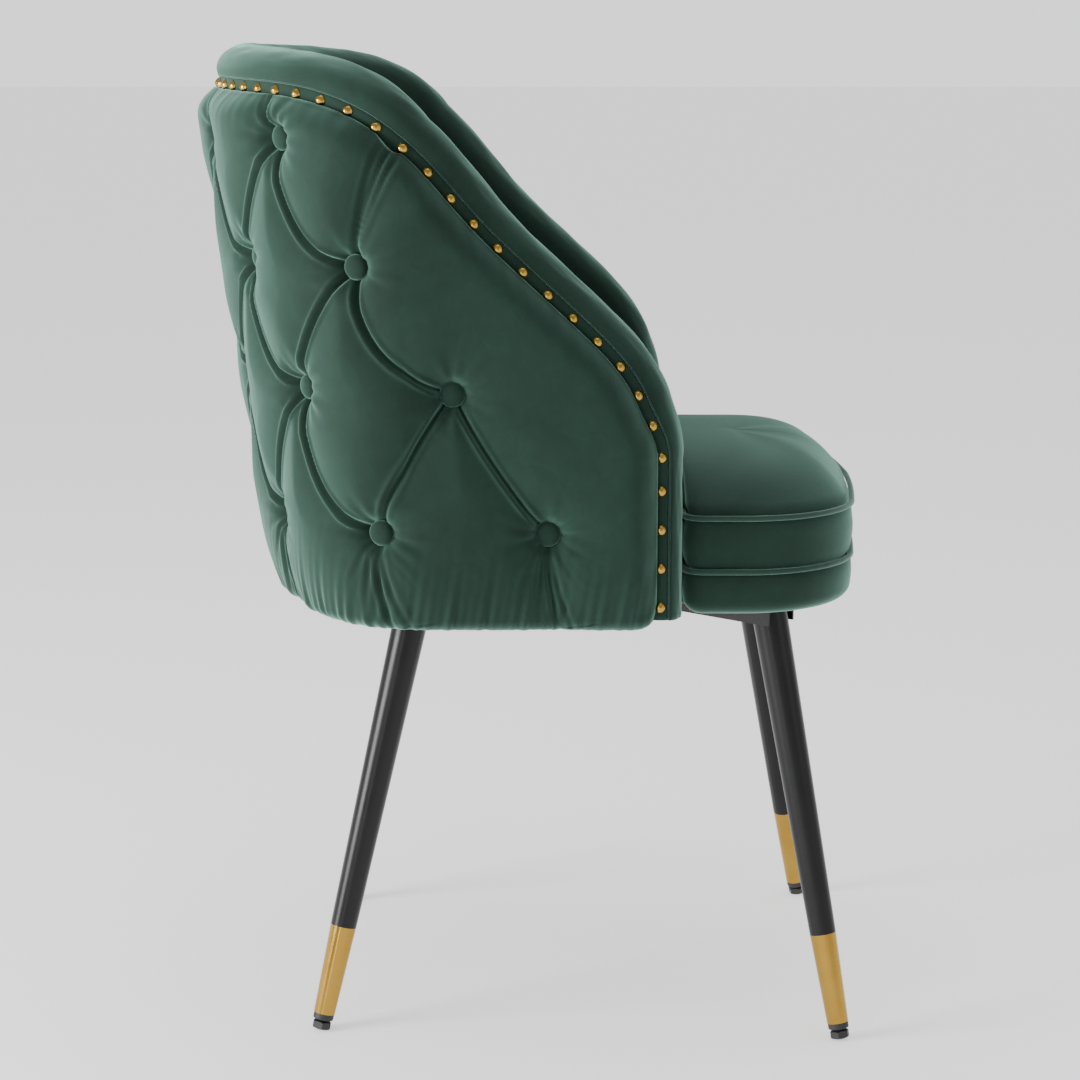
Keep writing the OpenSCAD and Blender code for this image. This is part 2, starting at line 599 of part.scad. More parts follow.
// ---------- legs and feet ----------
// Ends of the angled plate along a leg: its highest edge meets the rail's roof
function plate_top(l) = let (d = leg_dir(l)) (leg_top_z - leg_top_r * sqrt(1 - d[2] * d[2])) / d[2];
function leg_end(l) = plate_top(l) - leg_plate_t;
LEGS = [FRONT_LEG, mirror_leg(FRONT_LEG), REAR_LEG, mirror_leg(REAR_LEG)];
module leg(l) color(BLACK_STEEL) on_leg(l) rotate_extrude($fn = 64)
    polygon([[spigot_r(0), ferrule_z(l)], [spigot_r(1), ferrule_top(l)], [leg_low_r, ferrule_top(l)],
        [leg_top_r, leg_end(l)], [leg_top_r - leg_wall, leg_end(l)], [bore_r(1), ferrule_top(l)],
        [bore_r(0), ferrule_z(l)]]);

insert_l = 26;
module leg_inserts() color(ZINC) for (l = LEGS) {
    slope = (leg_top_r - leg_wall - bore_r(1)) / (leg_end(l) - ferrule_top(l));
    top_r = leg_top_r - leg_wall;
    on_leg(l) rotate_extrude($fn = 64) polygon([[stud_r, leg_end(l) - insert_l],
        [top_r - slope * insert_l, leg_end(l) - insert_l], [top_r, leg_end(l)], [stud_r, leg_end(l)]]);
}
module leg_plates() color(BLACK_STEEL) for (l = LEGS) on_leg(l) rotate_extrude($fn = 64)
    translate([stud_r, leg_end(l)]) square([leg_top_r - stud_r, leg_plate_t]);
stud_grip = 22;
module leg_studs() color(ZINC) for (l = LEGS) on_leg(l)
    translate([0, 0, leg_end(l) - stud_grip]) cylinder(r = stud_r, h = stud_grip + leg_plate_t, $fn = 48);

module ferrule(l) color(GOLD) on_leg(l) rotate_extrude($fn = 64)
    polygon([[spigot_r(0), ferrule_z(l)], [leg_end_r, ferrule_z(l)],
        [leg_low_r, ferrule_top(l)], [spigot_r(1), ferrule_top(l)]]);

module plug(l) color(BLACK_PLASTIC) on_leg(l) rotate_extrude($fn = 64)
    polygon([[stem_r + stem_gap, plug_z(l)], [leg_end_r - 1, plug_z(l)],
        [leg_end_r - 0.4, plug_z(l) + 0.8], [leg_end_r - 0.4, ferrule_z(l)],
        [bore_r(0), ferrule_z(l)], [bore_r(plug_l / ferrule_l), ferrule_z(l) + plug_l],
        [stem_r + stem_gap, ferrule_z(l) + plug_l]]);

stem_seat = 3.5;
stem_spare = level_travel / 2;
module stem(l) color(ZINC) on_leg(l) translate([0, 0, pole(l) + stem_seat])
    cylinder(r = stem_r, h = pad_h - stem_seat + home_gap + flange_h + plug_l + stem_spare, $fn = 48);

module foot_pad(l) color(BLACK_PLASTIC) on_leg(l) difference() {
    intersection() {
        translate([0, 0, pole(l)]) cylinder(r = pad_r, h = pad_h, $fn = 6);
        translate([0, 0, pole(l) + pad_dome_r]) sphere(r = pad_dome_r, $fn = 80);
        translate([0, 0, pole(l) + pad_h - pad_dome_r]) sphere(r = pad_dome_r, $fn = 80);
    }
    translate([0, 0, pole(l) + stem_seat - 0.3]) cylinder(r = stem_r + stem_gap, h = pad_h, $fn = 48);
}

module leg_front_left() leg(FRONT_LEG);
module leg_front_right() leg(mirror_leg(FRONT_LEG));
module leg_rear_left() leg(REAR_LEG);
module leg_rear_right() leg(mirror_leg(REAR_LEG));
module ferrule_front_left() ferrule(FRONT_LEG);
module ferrule_front_right() ferrule(mirror_leg(FRONT_LEG));
module ferrule_rear_left() ferrule(REAR_LEG);
module ferrule_rear_right() ferrule(mirror_leg(REAR_LEG));
module plug_front_left() plug(FRONT_LEG);
module plug_front_right() plug(mirror_leg(FRONT_LEG));
module plug_rear_left() plug(REAR_LEG);
module plug_rear_right() plug(mirror_leg(REAR_LEG));
module stem_front_left() stem(FRONT_LEG);
module stem_front_right() stem(mirror_leg(FRONT_LEG));
module stem_rear_left() stem(REAR_LEG);
module stem_rear_right() stem(mirror_leg(REAR_LEG));
module pad_front_left() foot_pad(FRONT_LEG);
module pad_front_right() foot_pad(mirror_leg(FRONT_LEG));
module pad_rear_left() foot_pad(REAR_LEG);
module pad_rear_right() foot_pad(mirror_leg(REAR_LEG));

seat_board();
seat_band();
seat_cushion();
piping_upper();
piping_lower();
dust_cover();
back_shell();
outer_back_pad();
inner_back_pad();
rim_band();
rim_welt();
nailheads();
tuft_buttons();
rail_long();
rail_half_left();
rail_half_right();
rail_screws();
back_screws();
leg_plates();
leg_studs();
leg_inserts();
leg_front_left();
leg_front_right();
leg_rear_left();
leg_rear_right();
ferrule_front_left();
ferrule_front_right();
ferrule_rear_left();
ferrule_rear_right();
plug_front_left();
plug_front_right();
plug_rear_left();
plug_rear_right();
stem_front_left();
stem_front_right();
stem_rear_left();
stem_rear_right();
pad_front_left();
pad_front_right();
pad_rear_left();
pad_rear_right();
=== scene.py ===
"""Barrel-back dining chair in buttoned green velvet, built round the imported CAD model."""
import json
import math

import bmesh
import bpy
import numpy as np
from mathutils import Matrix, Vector


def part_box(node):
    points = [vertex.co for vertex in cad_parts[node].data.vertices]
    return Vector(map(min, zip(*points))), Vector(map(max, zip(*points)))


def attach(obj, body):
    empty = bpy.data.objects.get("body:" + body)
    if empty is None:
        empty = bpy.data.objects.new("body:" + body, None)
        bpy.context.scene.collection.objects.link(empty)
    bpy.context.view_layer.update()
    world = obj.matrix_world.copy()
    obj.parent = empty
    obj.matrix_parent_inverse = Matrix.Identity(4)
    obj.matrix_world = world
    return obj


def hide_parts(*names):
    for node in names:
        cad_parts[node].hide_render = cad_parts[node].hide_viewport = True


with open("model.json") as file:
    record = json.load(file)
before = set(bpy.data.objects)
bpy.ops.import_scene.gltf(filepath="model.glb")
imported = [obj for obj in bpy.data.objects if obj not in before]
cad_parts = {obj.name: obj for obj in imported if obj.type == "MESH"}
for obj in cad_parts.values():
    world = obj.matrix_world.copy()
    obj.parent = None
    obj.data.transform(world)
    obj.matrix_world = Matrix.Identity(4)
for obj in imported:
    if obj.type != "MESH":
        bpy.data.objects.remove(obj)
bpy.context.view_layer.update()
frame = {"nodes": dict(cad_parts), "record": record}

nodes = frame["nodes"]

# ---------------------------------------------------------------- sizes, in metres
# Surface that the nail strip lies on, and the lines that bound it
HALF_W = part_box("back_shell")[1][0] + 0.004
CURVE_Y = 0.103
REAR_Y = 0.2775
PLAN_POWER = 1.8
LEAN = 0.14
BOTTOM_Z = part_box("outer_back_pad")[0][2]
WING_Y = -0.110
WING_Z = BOTTOM_Z + 0.150
BACK_Z = BOTTOM_Z + 0.449
SWEEP = np.array([[0, -0.1], [0, 0], [0.03, 0.1], [0.11, 0.27], [0.37, 0.59], [0.56, 0.85],
                  [0.74, 0.97], [1, 1], [1.27, 1]])
PAD_BULGE = 0.0265
PAD_EDGE = 0.003
RIM_RISE = 0.031
RIM_FRONT = 0.019
RIM_W = 0.050
RIM_BOTTOM_Z = BOTTOM_Z + 0.008
INNER_EDGE = 0.012
PLY_IN = -0.016

BUTTON_PITCH = 0.137
BUTTON_D = 0.022
# Rows of buttons: height and the places to each side, in pitches
BUTTON_ROWS = [(0.788, (0.5, 1.5)), (0.684, (0, 1, 2)), (0.580, (0.5, 1.5, 2.5)),
               (0.463, (0, 1, 2, 3))]
BUTTON_DEPTH = 0.0225
BUTTON_SINK = 0.0200
FOLD_DEPTH = 0.0105

NAIL_D = 0.0101
POLE = 0.0002
NAIL_H = 0.0042
NAIL_PITCH = 0.0285
NAIL_PITCH_LOW = 0.033
NAIL_LOW_Z = 0.011

SEAT_Z = 0.388
BAND_TOP_Z = SEAT_Z + 0.038
CUSHION_TOP_Z = BAND_TOP_Z + 0.046
CROWN = 0.0385
CLOTH_PRESSURE = 1.2
CLOTH_STIFFNESS = 12
CLOTH_BENDING = 8
CLOTH_MASS = 0.25
CLOTH_FRAMES = 20
SWELL_MOST = 0.004
SWELL_EVENING = 150
PIPING_R = 0.0025
SEAT_FRONT_Y = -0.289
FRONT_BOW = 0.014
SEAT_HALF_W = HALF_W - 0.016
NECK_HALF_W = HALF_W - RIM_W - PIPING_R - 0.0005
EAR_Y = WING_Y - RIM_FRONT - PIPING_R - 0.0005
CORNER_R = 0.100
EAR_R = 0.016
NECK_R = 0.004
SEAT_REAR_GAP = 0.053
FRONT_SAG = 0.0015
SEAT_COUNT = 420
SEAT_SPINE = (-0.185, 0.085)
BAND_EDGE_R = 0.013
BAND_LIP = 0.028

CELL = 0.0014
PAD_CORNER = 0.018
RIM_STEP = 0.004
# Outer pad: height at the nail line, widths of its rolled edges, radius under its lower edge
PAD_RIM = 0.0012
PAD_ROLL_W = 0.036
PAD_UNDER_H = 0.085
PAD_UNDER_R = 0.011
PAD_BACKING = 0.0035
NAIL_DIMPLE = 0.0032
NAIL_DIMPLE_W = 0.013
# Folds: widths on the rear and front side, the lips beside the crease, and the crease itself
FOLD_REAR_W = 0.046
FOLD_FRONT_W = 0.066
LIP_REAR = 0.0028
LIP_FRONT = 0.0015
LIP_PLACE = 0.0040
LIP_W = 0.0021
CREASE = 0.0026
CREASE_W = 0.0020


# ---------------------------------------------------------------- helpers
def unit(v):
    return v / np.maximum(np.linalg.norm(v, axis=-1, keepdims=True), 1e-12)


def smooth(t):
    t = np.clip(t, 0, 1)
    return t * t * (3 - 2 * t)


def spline(points, per):
    """A curve through points[1:-1]; the first and last only steer it."""
    out = []
    for a, b, c, d in zip(points[:-3], points[1:-2], points[2:-1], points[3:]):
        for t in np.linspace(0, 1, per, endpoint=False):
            out.append(b + t / 2 * ((c - a) + t * ((2 * a - 5 * b + 4 * c - d)
                                                   + t * (3 * (b - c) + d - a))))
    return np.array(out + [points[-2]])


def add_object(name, data):
    obj = bpy.data.objects.new(name, data)
    bpy.context.scene.collection.objects.link(obj)
    return obj


def make_mesh(name, verts, faces):
    mesh = bpy.data.meshes.new(name)
    mesh.from_pydata([tuple(v) for v in verts], [], faces)
    mesh.validate()
    mesh.polygons.foreach_set("use_smooth", [True] * len(mesh.polygons))
    mesh.update()
    return mesh


def loft(name, rings, closed_path=False):
    """A closed skin through an (n, m, 3) array of rings, faced outwards by its signed volume."""
    n, m, _ = rings.shape
    i = np.arange(n if closed_path else n - 1)
    j = np.arange(m)
    ii, jj = np.meshgrid(i, j, indexing="ij")
    at = lambda a, b: ((a % n) * m + (b % m)).ravel()
    quads = np.stack([at(ii, jj), at(ii + 1, jj), at(ii + 1, jj + 1), at(ii, jj + 1)], 1)
    verts = rings.reshape(-1, 3)
    a, b, c, d = (verts[quads[:, k]] for k in range(4))
    volume = np.einsum("ij,ij->", a, np.cross(b, c)) + np.einsum("ij,ij->", a, np.cross(c, d))
    faces = quads.tolist()
    if not closed_path:
        faces += [list(range(m)), [(n - 1) * m + k for k in reversed(range(m))]]
        for ring, sign in ((rings[0], 1), (rings[-1], -1)):
            fan = np.cross(ring[1:-1] - ring[0], ring[2:] - ring[0]).sum(0)
            volume += sign * ring.mean(0) @ fan
    if volume < 0:
        faces = [face[::-1] for face in faces]
    return make_mesh(name, verts, faces)


def wave(x, seed, lengths):
    """A sum of sines with seeded phases, about -1 to 1."""
    r = np.random.default_rng(seed)
    total = np.zeros_like(x)
    for length in lengths:
        total += np.sin(2 * np.pi * x / length + r.uniform(0, 2 * np.pi))
    return total / len(lengths)


def polyline_distance(s, z, path):
    """Distance from each (s, z) to a polyline, with the share along it and the signed side."""
    best = np.full(s.shape, 9.0)
    share = np.zeros(s.shape)
    side = np.zeros(s.shape)
    count = len(path) - 1
    for k in range(count):
        a, d = path[k], path[k + 1] - path[k]
        length2 = max(d @ d, 1e-12)
        t = np.clip(((s - a[0]) * d[0] + (z - a[1]) * d[1]) / length2, 0, 1)
        gs, gz = s - a[0] - t * d[0], z - a[1] - t * d[1]
        dist = np.hypot(gs, gz)
        near = dist < best
        best = np.where(near, dist, best)
        share = np.where(near, (k + t) / count, share)
        side = np.where(near, np.sign(gs * -d[1] + gz * d[0]), side)
    return best, share, side


# ---------------------------------------------------------------- surface of the back
ANGLES = np.radians(np.linspace(0, 90, 361))
EDGE = spline(SWEEP, 24) * [REAR_Y - WING_Y, BACK_Z - WING_Z] + [WING_Y, WING_Z]


def reach(z):
    """How far the plan's turn reaches to the rear of CURVE_Y at height z."""
    return REAR_Y - CURVE_Y + LEAN * (z - BACK_Z)


def plan_s(a):
    """Sine of the plan's superellipse."""
    return np.clip(np.sin(a), 0, 1) ** (2 / PLAN_POWER)


def plan_c(a):
    """Cosine of the plan's superellipse."""
    return np.clip(np.cos(a), 0, 1) ** (2 / PLAN_POWER)


HEIGHTS = np.linspace(BOTTOM_Z - 0.02, BACK_Z + 0.05, 24)
ARCS = np.array([np.r_[0, np.cumsum(np.hypot(np.diff(HALF_W * plan_s(ANGLES)),
                                             np.diff(reach(z) * plan_c(ANGLES))))] for z in HEIGHTS])
REF_Z = 0.62
REF_ARC = np.array([np.interp(REF_Z, HEIGHTS, ARCS[:, k]) for k in range(len(ANGLES))])
QUARTER = REF_ARC[-1]


def arc_at(angle, z):
    """Distance along the back from its rear centre line at height z, for an angle of the plan."""
    row = np.interp(z, HEIGHTS, np.arange(len(HEIGHTS)))
    col = np.interp(angle, ANGLES, np.arange(len(ANGLES)))
    r0 = np.clip(row.astype(int), 0, len(HEIGHTS) - 2)
    c0 = np.clip(col.astype(int), 0, len(ANGLES) - 2)
    fr, fc = row - r0, col - c0
    return ((ARCS[r0, c0] * (1 - fr) + ARCS[r0 + 1, c0] * fr) * (1 - fc)
            + (ARCS[r0, c0 + 1] * (1 - fr) + ARCS[r0 + 1, c0 + 1] * fr) * fc)


def back_point(col, z, off=0.0):
    """A point of the back. col is the distance from the rear centre line at the middle height."""
    side = np.sign(col + 1e-12)
    a = np.interp(np.abs(col), REF_ARC, ANGLES)
    y_flat = CURVE_Y - np.maximum(np.abs(col) - QUARTER, 0)
    turned = np.abs(col) <= QUARTER
    x = np.where(turned, (HALF_W + off) * plan_s(a), HALF_W + off)
    y = np.where(turned, CURVE_Y + (reach(z) + off) * plan_c(a), y_flat)
    return np.stack(np.broadcast_arrays(side * x, y, z + 0 * x), -1)


def along(col, z):
    """True distance along the back at height z for a column."""
    a = np.interp(np.abs(col), REF_ARC, ANGLES)
    flat = np.maximum(np.abs(col) - QUARTER, 0)
    return np.sign(col + 1e-12) * (arc_at(a, z) + flat)


def column_for(s, z):
    """The column whose true distance along the back at height z is s."""
    cols = np.linspace(0, QUARTER + 0.3, 2400)
    return np.sign(s + 1e-12) * np.interp(abs(s), along(cols, np.full_like(cols, z)), cols)


def nail_height(col):
    """Height of the nail line over each column."""
    a = np.interp(np.abs(col), REF_ARC, ANGLES)
    y = np.where(np.abs(col) <= QUARTER, CURVE_Y + reach(BACK_Z) * plan_c(a),
                 CURVE_Y - np.maximum(np.abs(col) - QUARTER, 0))
    return np.interp(y, EDGE[:, 0], EDGE[:, 1])


def edge_height(cols, move):
    """Height of the nail line moved by move within the surface, over each column."""
    z = nail_height(cols)
    d = unit(np.gradient(EDGE, axis=0))
    moved = EDGE + move * np.stack([-d[:, 1], d[:, 0]], 1)
    y = CURVE_Y - np.maximum(np.abs(cols) - QUARTER, 0)
    flat = np.interp(y, moved[:, 0], moved[:, 1])
    slope = np.gradient(z, np.abs(cols) + 1e-9 * np.arange(len(cols)))
    turned = z + move * np.sqrt(1 + np.clip(slope, -1.2, 1.2) ** 2)
    mix = smooth((np.abs(cols) - QUARTER + 0.02) / 0.02)
    return turned * (1 - mix) + flat * mix


def sheet_normals(p):
    """Outward normals of a grid whose first axis runs round the back and second upwards."""
    n = np.cross(np.gradient(p, axis=1), np.gradient(p, axis=0))
    return unit(n)


# ---------------------------------------------------------------- finishes
def new_material(name):
    mat = bpy.data.materials.new(name)
    mat.use_nodes = True
    tree = mat.node_tree
    tree.nodes.clear()
    out = tree.nodes.new("ShaderNodeOutputMaterial")
    shader = tree.nodes.new("ShaderNodeBsdfPrincipled")
    tree.links.new(shader.outputs["BSDF"], out.inputs["Surface"])
    return mat, tree, shader


def texture(tree, kind, **values):
    """A texture node on object coordinates."""
    node = tree.nodes.new(kind)
    coord = tree.nodes.new("ShaderNodeTexCoord")
    tree.links.new(coord.outputs["Object"], node.inputs["Vector"])
    for key, value in values.items():
        node.inputs[key].default_value = value
    return node


def ramp(tree, source, stops):
    node = tree.nodes.new("ShaderNodeValToRGB")
    tree.links.new(source, node.inputs["Fac"])
    while len(node.color_ramp.elements) < len(stops):
        node.color_ramp.elements.new(0.5)
    for element, (place, colour) in zip(node.color_ramp.elements, stops):
        element.position = place
        element.color = (*colour, 1)
    return node


def bump(tree, shader, layers):
    """Chains bump nodes: each layer is (height output, strength, distance)."""
    last = None
    for height, strength, distance in layers:
        node = tree.nodes.new("ShaderNodeBump")
        node.inputs["Strength"].default_value = strength
        node.inputs["Distance"].default_value = distance
        tree.links.new(height, node.inputs["Height"])
        if last:
            tree.links.new(last.outputs["Normal"], node.inputs["Normal"])
        last = node
    tree.links.new(last.outputs["Normal"], shader.inputs["Normal"])


def velvet(name, dark, light, sheen, pile=1.0):
    """Short cut pile: dark face on, bright at grazing angles, with brushed patches."""
    mat, tree, shader = new_material(name)
    patch = texture(tree, "ShaderNodeTexNoise", Scale=7.0, Detail=4.0, Roughness=0.62, Distortion=0.6)
    colour = ramp(tree, patch.outputs["Fac"], [(0.36, dark), (0.64, light)])
    streak = texture(tree, "ShaderNodeTexNoise", Scale=46.0, Detail=5.0, Roughness=0.7, Distortion=1.2)
    tone = ramp(tree, streak.outputs["Fac"], [(0.35, (0.86,) * 3), (0.7, (1.08,) * 3)])
    mix = tree.nodes.new("ShaderNodeMix")
    mix.data_type = "RGBA"
    mix.blend_type = "MULTIPLY"
    mix.inputs["Factor"].default_value = 1.0
    tree.links.new(colour.outputs["Color"], mix.inputs["A"])
    tree.links.new(tone.outputs["Color"], mix.inputs["B"])
    tree.links.new(mix.outputs["Result"], shader.inputs["Base Color"])
    shader.inputs["Roughness"].default_value = 0.78
    shader.inputs["Specular IOR Level"].default_value = 0.18
    shader.inputs["Sheen Weight"].default_value = 0.85
    shader.inputs["Sheen Roughness"].default_value = 0.42
    shader.inputs["Sheen Tint"].default_value = (*sheen, 1)
    fibre = texture(tree, "ShaderNodeTexNoise", Scale=1500.0, Detail=2.0, Roughness=0.6)
    nap = texture(tree, "ShaderNodeTexNoise", Scale=150.0, Detail=3.0, Roughness=0.6, Distortion=0.8)
    bump(tree, shader, [(nap.outputs["Fac"], 0.10 * pile, 0.0012),
                        (fibre.outputs["Fac"], 0.25 * pile, 0.0004)])
    return mat


def metal(name, colour, worn, rough, metallic=1.0, gleam=0.5, scratch=0.1):
    """Plated or coated metal with faint brushing and slightly uneven gloss."""
    mat, tree, shader = new_material(name)
    blot = texture(tree, "ShaderNodeTexNoise", Scale=38.0, Detail=4.0, Roughness=0.6)
    tint = ramp(tree, blot.outputs["Fac"], [(0.3, colour), (0.75, worn)])
    tree.links.new(tint.outputs["Color"], shader.inputs["Base Color"])
    gloss = tree.nodes.new("ShaderNodeMapRange")
    gloss.inputs["To Min"].default_value = rough * 0.8
    gloss.inputs["To Max"].default_value = rough * 1.25
    tree.links.new(blot.outputs["Fac"], gloss.inputs["Value"])
    tree.links.new(gloss.outputs["Result"], shader.inputs["Roughness"])
    shader.inputs["Metallic"].default_value = metallic
    shader.inputs["Specular IOR Level"].default_value = gleam
    grain = texture(tree, "ShaderNodeTexNoise", Scale=420.0, Detail=3.0, Roughness=0.7)
    bump(tree, shader, [(grain.outputs["Fac"], scratch, 0.0002)])
    return mat


def moulded(name, colour, rough):
    """Moulded plastic with a fine spark-eroded grain."""
    mat, tree, shader = new_material(name)
    grain = texture(tree, "ShaderNodeTexVoronoi", Scale=900.0)
    tint = ramp(tree, grain.outputs["Distance"], [(0.1, colour), (0.9, tuple(c * 1.35 for c in colour))])
    tree.links.new(tint.outputs["Color"], shader.inputs["Base Color"])
    shader.inputs["Roughness"].default_value = rough
    bump(tree, shader, [(grain.outputs["Distance"], 0.15, 0.0002)])
    return mat


def ply(name):
    """Plywood with its layers on edge, its browns darkened as painted shade for the sliver seen in the gap
    under the seat band.
    """
    mat, tree, shader = new_material(name)
    layers = texture(tree, "ShaderNodeTexWave", Scale=95.0, Distortion=1.4, Detail=3.0)
    layers.bands_direction = "Z"
    # Painted shade: browns kept dark so the plywood in the gap under the seat band reads as shadow
    tint = ramp(tree, layers.outputs["Fac"], [(0.2, (0.16, 0.10, 0.05)), (0.8, (0.24, 0.16, 0.09))])
    tree.links.new(tint.outputs["Color"], shader.inputs["Base Color"])
    shader.inputs["Roughness"].default_value = 0.7
    grain = texture(tree, "ShaderNodeTexNoise", Scale=260.0, Detail=4.0)
    bump(tree, shader, [(grain.outputs["Fac"], 0.2, 0.0004)])
    return mat


def nonwoven(name):
    """Black felted dust cloth."""
    mat, tree, shader = new_material(name)
    felt = texture(tree, "ShaderNodeTexNoise", Scale=700.0, Detail=5.0, Roughness=0.8)
    tint = ramp(tree, felt.outputs["Fac"], [(0.3, (0.012, 0.012, 0.013)), (0.8, (0.045, 0.045, 0.047))])
    tree.links.new(tint.outputs["Color"], shader.inputs["Base Color"])
    shader.inputs["Roughness"].default_value = 0.95
    bump(tree, shader, [(felt.outputs["Fac"], 0.4, 0.0004)])
    return mat


VELVET = velvet("green_velvet", (0.0050, 0.0195, 0.0125), (0.0082, 0.0280, 0.0190), (0.42, 0.78, 0.64))
VELVET_BIAS = velvet("green_velvet_bias", (0.010, 0.033, 0.023), (0.017, 0.047, 0.034),
                     (0.60, 0.90, 0.80), pile=1.6)
NAIL_GOLD = metal("antique_gold", (0.38, 0.235, 0.045), (0.47, 0.300, 0.070), 0.19, scratch=0.25)
FERRULE_GOLD = metal("polished_gold", (0.36, 0.208, 0.034), (0.41, 0.245, 0.050), 0.16, scratch=0.06)
BLACK_STEEL = metal("black_steel", (0.0040, 0.0040, 0.0046), (0.0060, 0.0060, 0.0068), 0.30, metallic=0.0,
                    gleam=0.28, scratch=0.06)
ZINC = metal("zinc_steel", (0.50, 0.51, 0.53), (0.62, 0.62, 0.63), 0.32, scratch=0.2)
BLACK_NYLON = moulded("black_nylon", (0.010, 0.010, 0.011), 0.55)
PLYWOOD_PAINTED_SHADE = ply("plywood_painted_shade")
DUST_CLOTH = nonwoven("dust_cloth")
FINISH = {"velvet": VELVET, "velvet_piping": VELVET_BIAS, "antique_gold": NAIL_GOLD,
          "polished_gold": FERRULE_GOLD, "black_steel": BLACK_STEEL, "zinc_steel": ZINC,
          "black_plastic": BLACK_NYLON, "plywood": PLYWOOD_PAINTED_SHADE, "dust_cloth": DUST_CLOTH}


def finish_cad_nodes():
    """Gives each CAD node the finish of its own slot."""
    slots = {s["node"]: s["material_slot"] for s in frame["record"]["subparts"]}
    for name, obj in nodes.items():
        obj.data.materials.clear()
        obj.data.materials.append(FINISH[slots[name]])


def place(obj, slot, *replaced, fill=None):
    """Finishes a piece, puts it on the chair and hides the CAD nodes it stands for."""
    obj.data.materials.clear()
    obj.data.materials.append(FINISH[slot])
    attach(obj, "chair")
    if replaced:
        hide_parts(*replaced)


# ---------------------------------------------------------------- camera, floor and lights
VIEW_PLACE = (-2.4318, -0.0125, 0.8752)
VIEW_PITCH = 0.1891
VIEW_LENS = 88.83
ROOM_LIGHT = 0.62
BACKDROP_LIGHT = 1.43
FLOOR_HALF = 40.0
FLOOR_GLOW = 0.7


def add_camera():
    data = bpy.data.cameras.new("view")
    data.lens = VIEW_LENS
    data.sensor_width = 36.0
    cam = add_object("view", data)
    cam.location = VIEW_PLACE
    look = Vector((math.cos(VIEW_PITCH), 0.0015, -math.sin(VIEW_PITCH)))
    cam.rotation_euler = look.to_track_quat("-Z", "Y").to_euler()
    bpy.context.scene.camera = cam


def add_floor():
    """A wide pale floor with a little light of its own, so it meets the backdrop unseen."""
    corners = [(x * FLOOR_HALF, y * FLOOR_HALF, 0) for x, y in ((-1, -1), (1, -1), (1, 1), (-1, 1))]
    floor = add_object("floor", make_mesh("floor", corners, [(0, 1, 2, 3)]))
    mat, _, shader = new_material("pale_floor")
    shader.inputs["Base Color"].default_value = (0.93, 0.93, 0.93, 1)
    shader.inputs["Roughness"].default_value = 0.9
    shader.inputs["Emission Color"].default_value = (1, 1, 1, 1)
    shader.inputs["Emission Strength"].default_value = FLOOR_GLOW
    floor.data.materials.append(mat)


def add_light(name, place, target, size, power, tall=None):
    data = bpy.data.lights.new(name, "AREA")
    data.shape = "RECTANGLE"
    data.size = size
    data.size_y = tall or size
    data.energy = power
    lamp = add_object(name, data)
    lamp.location = place
    lamp.rotation_euler = (Vector(target) - Vector(place)).to_track_quat("-Z", "Y").to_euler()


def add_lights():
    """Soft room light, a brighter backdrop for the camera only, and four lamps."""
    world = bpy.data.worlds.new("studio")
    world.use_nodes = True
    tree = world.node_tree
    back = tree.nodes["Background"]
    back.inputs["Color"].default_value = (1, 1, 1, 1)
    seen = tree.nodes.new("ShaderNodeLightPath")
    level = tree.nodes.new("ShaderNodeMapRange")
    level.inputs["To Min"].default_value = ROOM_LIGHT
    level.inputs["To Max"].default_value = BACKDROP_LIGHT
    tree.links.new(seen.outputs["Is Camera Ray"], level.inputs["Value"])
    tree.links.new(level.outputs["Result"], back.inputs["Strength"])
    bpy.context.scene.world = world
    middle = (0, 0, 0.5)
    add_light("key", (-1.2, 2.7, 0.9), middle, 1.2, 115)
    add_light("top", (0.2, -0.1, 3.0), middle, 2.0, 17)
    add_light("front_fill", (-1.8, -2.4, 1.2), middle, 1.4, 6)
    add_light("strip", (-2.4, 1.1, 0.7), (0, 0, 0.4), 0.30, 7, tall=1.6)


# ---------------------------------------------------------------- outer pad with its buttons
def fold_path(upper, lower, bow, count=14):
    """A fold from an upper to a lower point, bowed to the rear and down."""
    upper, lower = np.array(upper), np.array(lower)
    middle = (upper + lower) / 2 + bow
    t = np.linspace(0, 1, count)[:, None]
    return (1 - t) ** 2 * upper + 2 * t * (1 - t) * middle + t ** 2 * lower


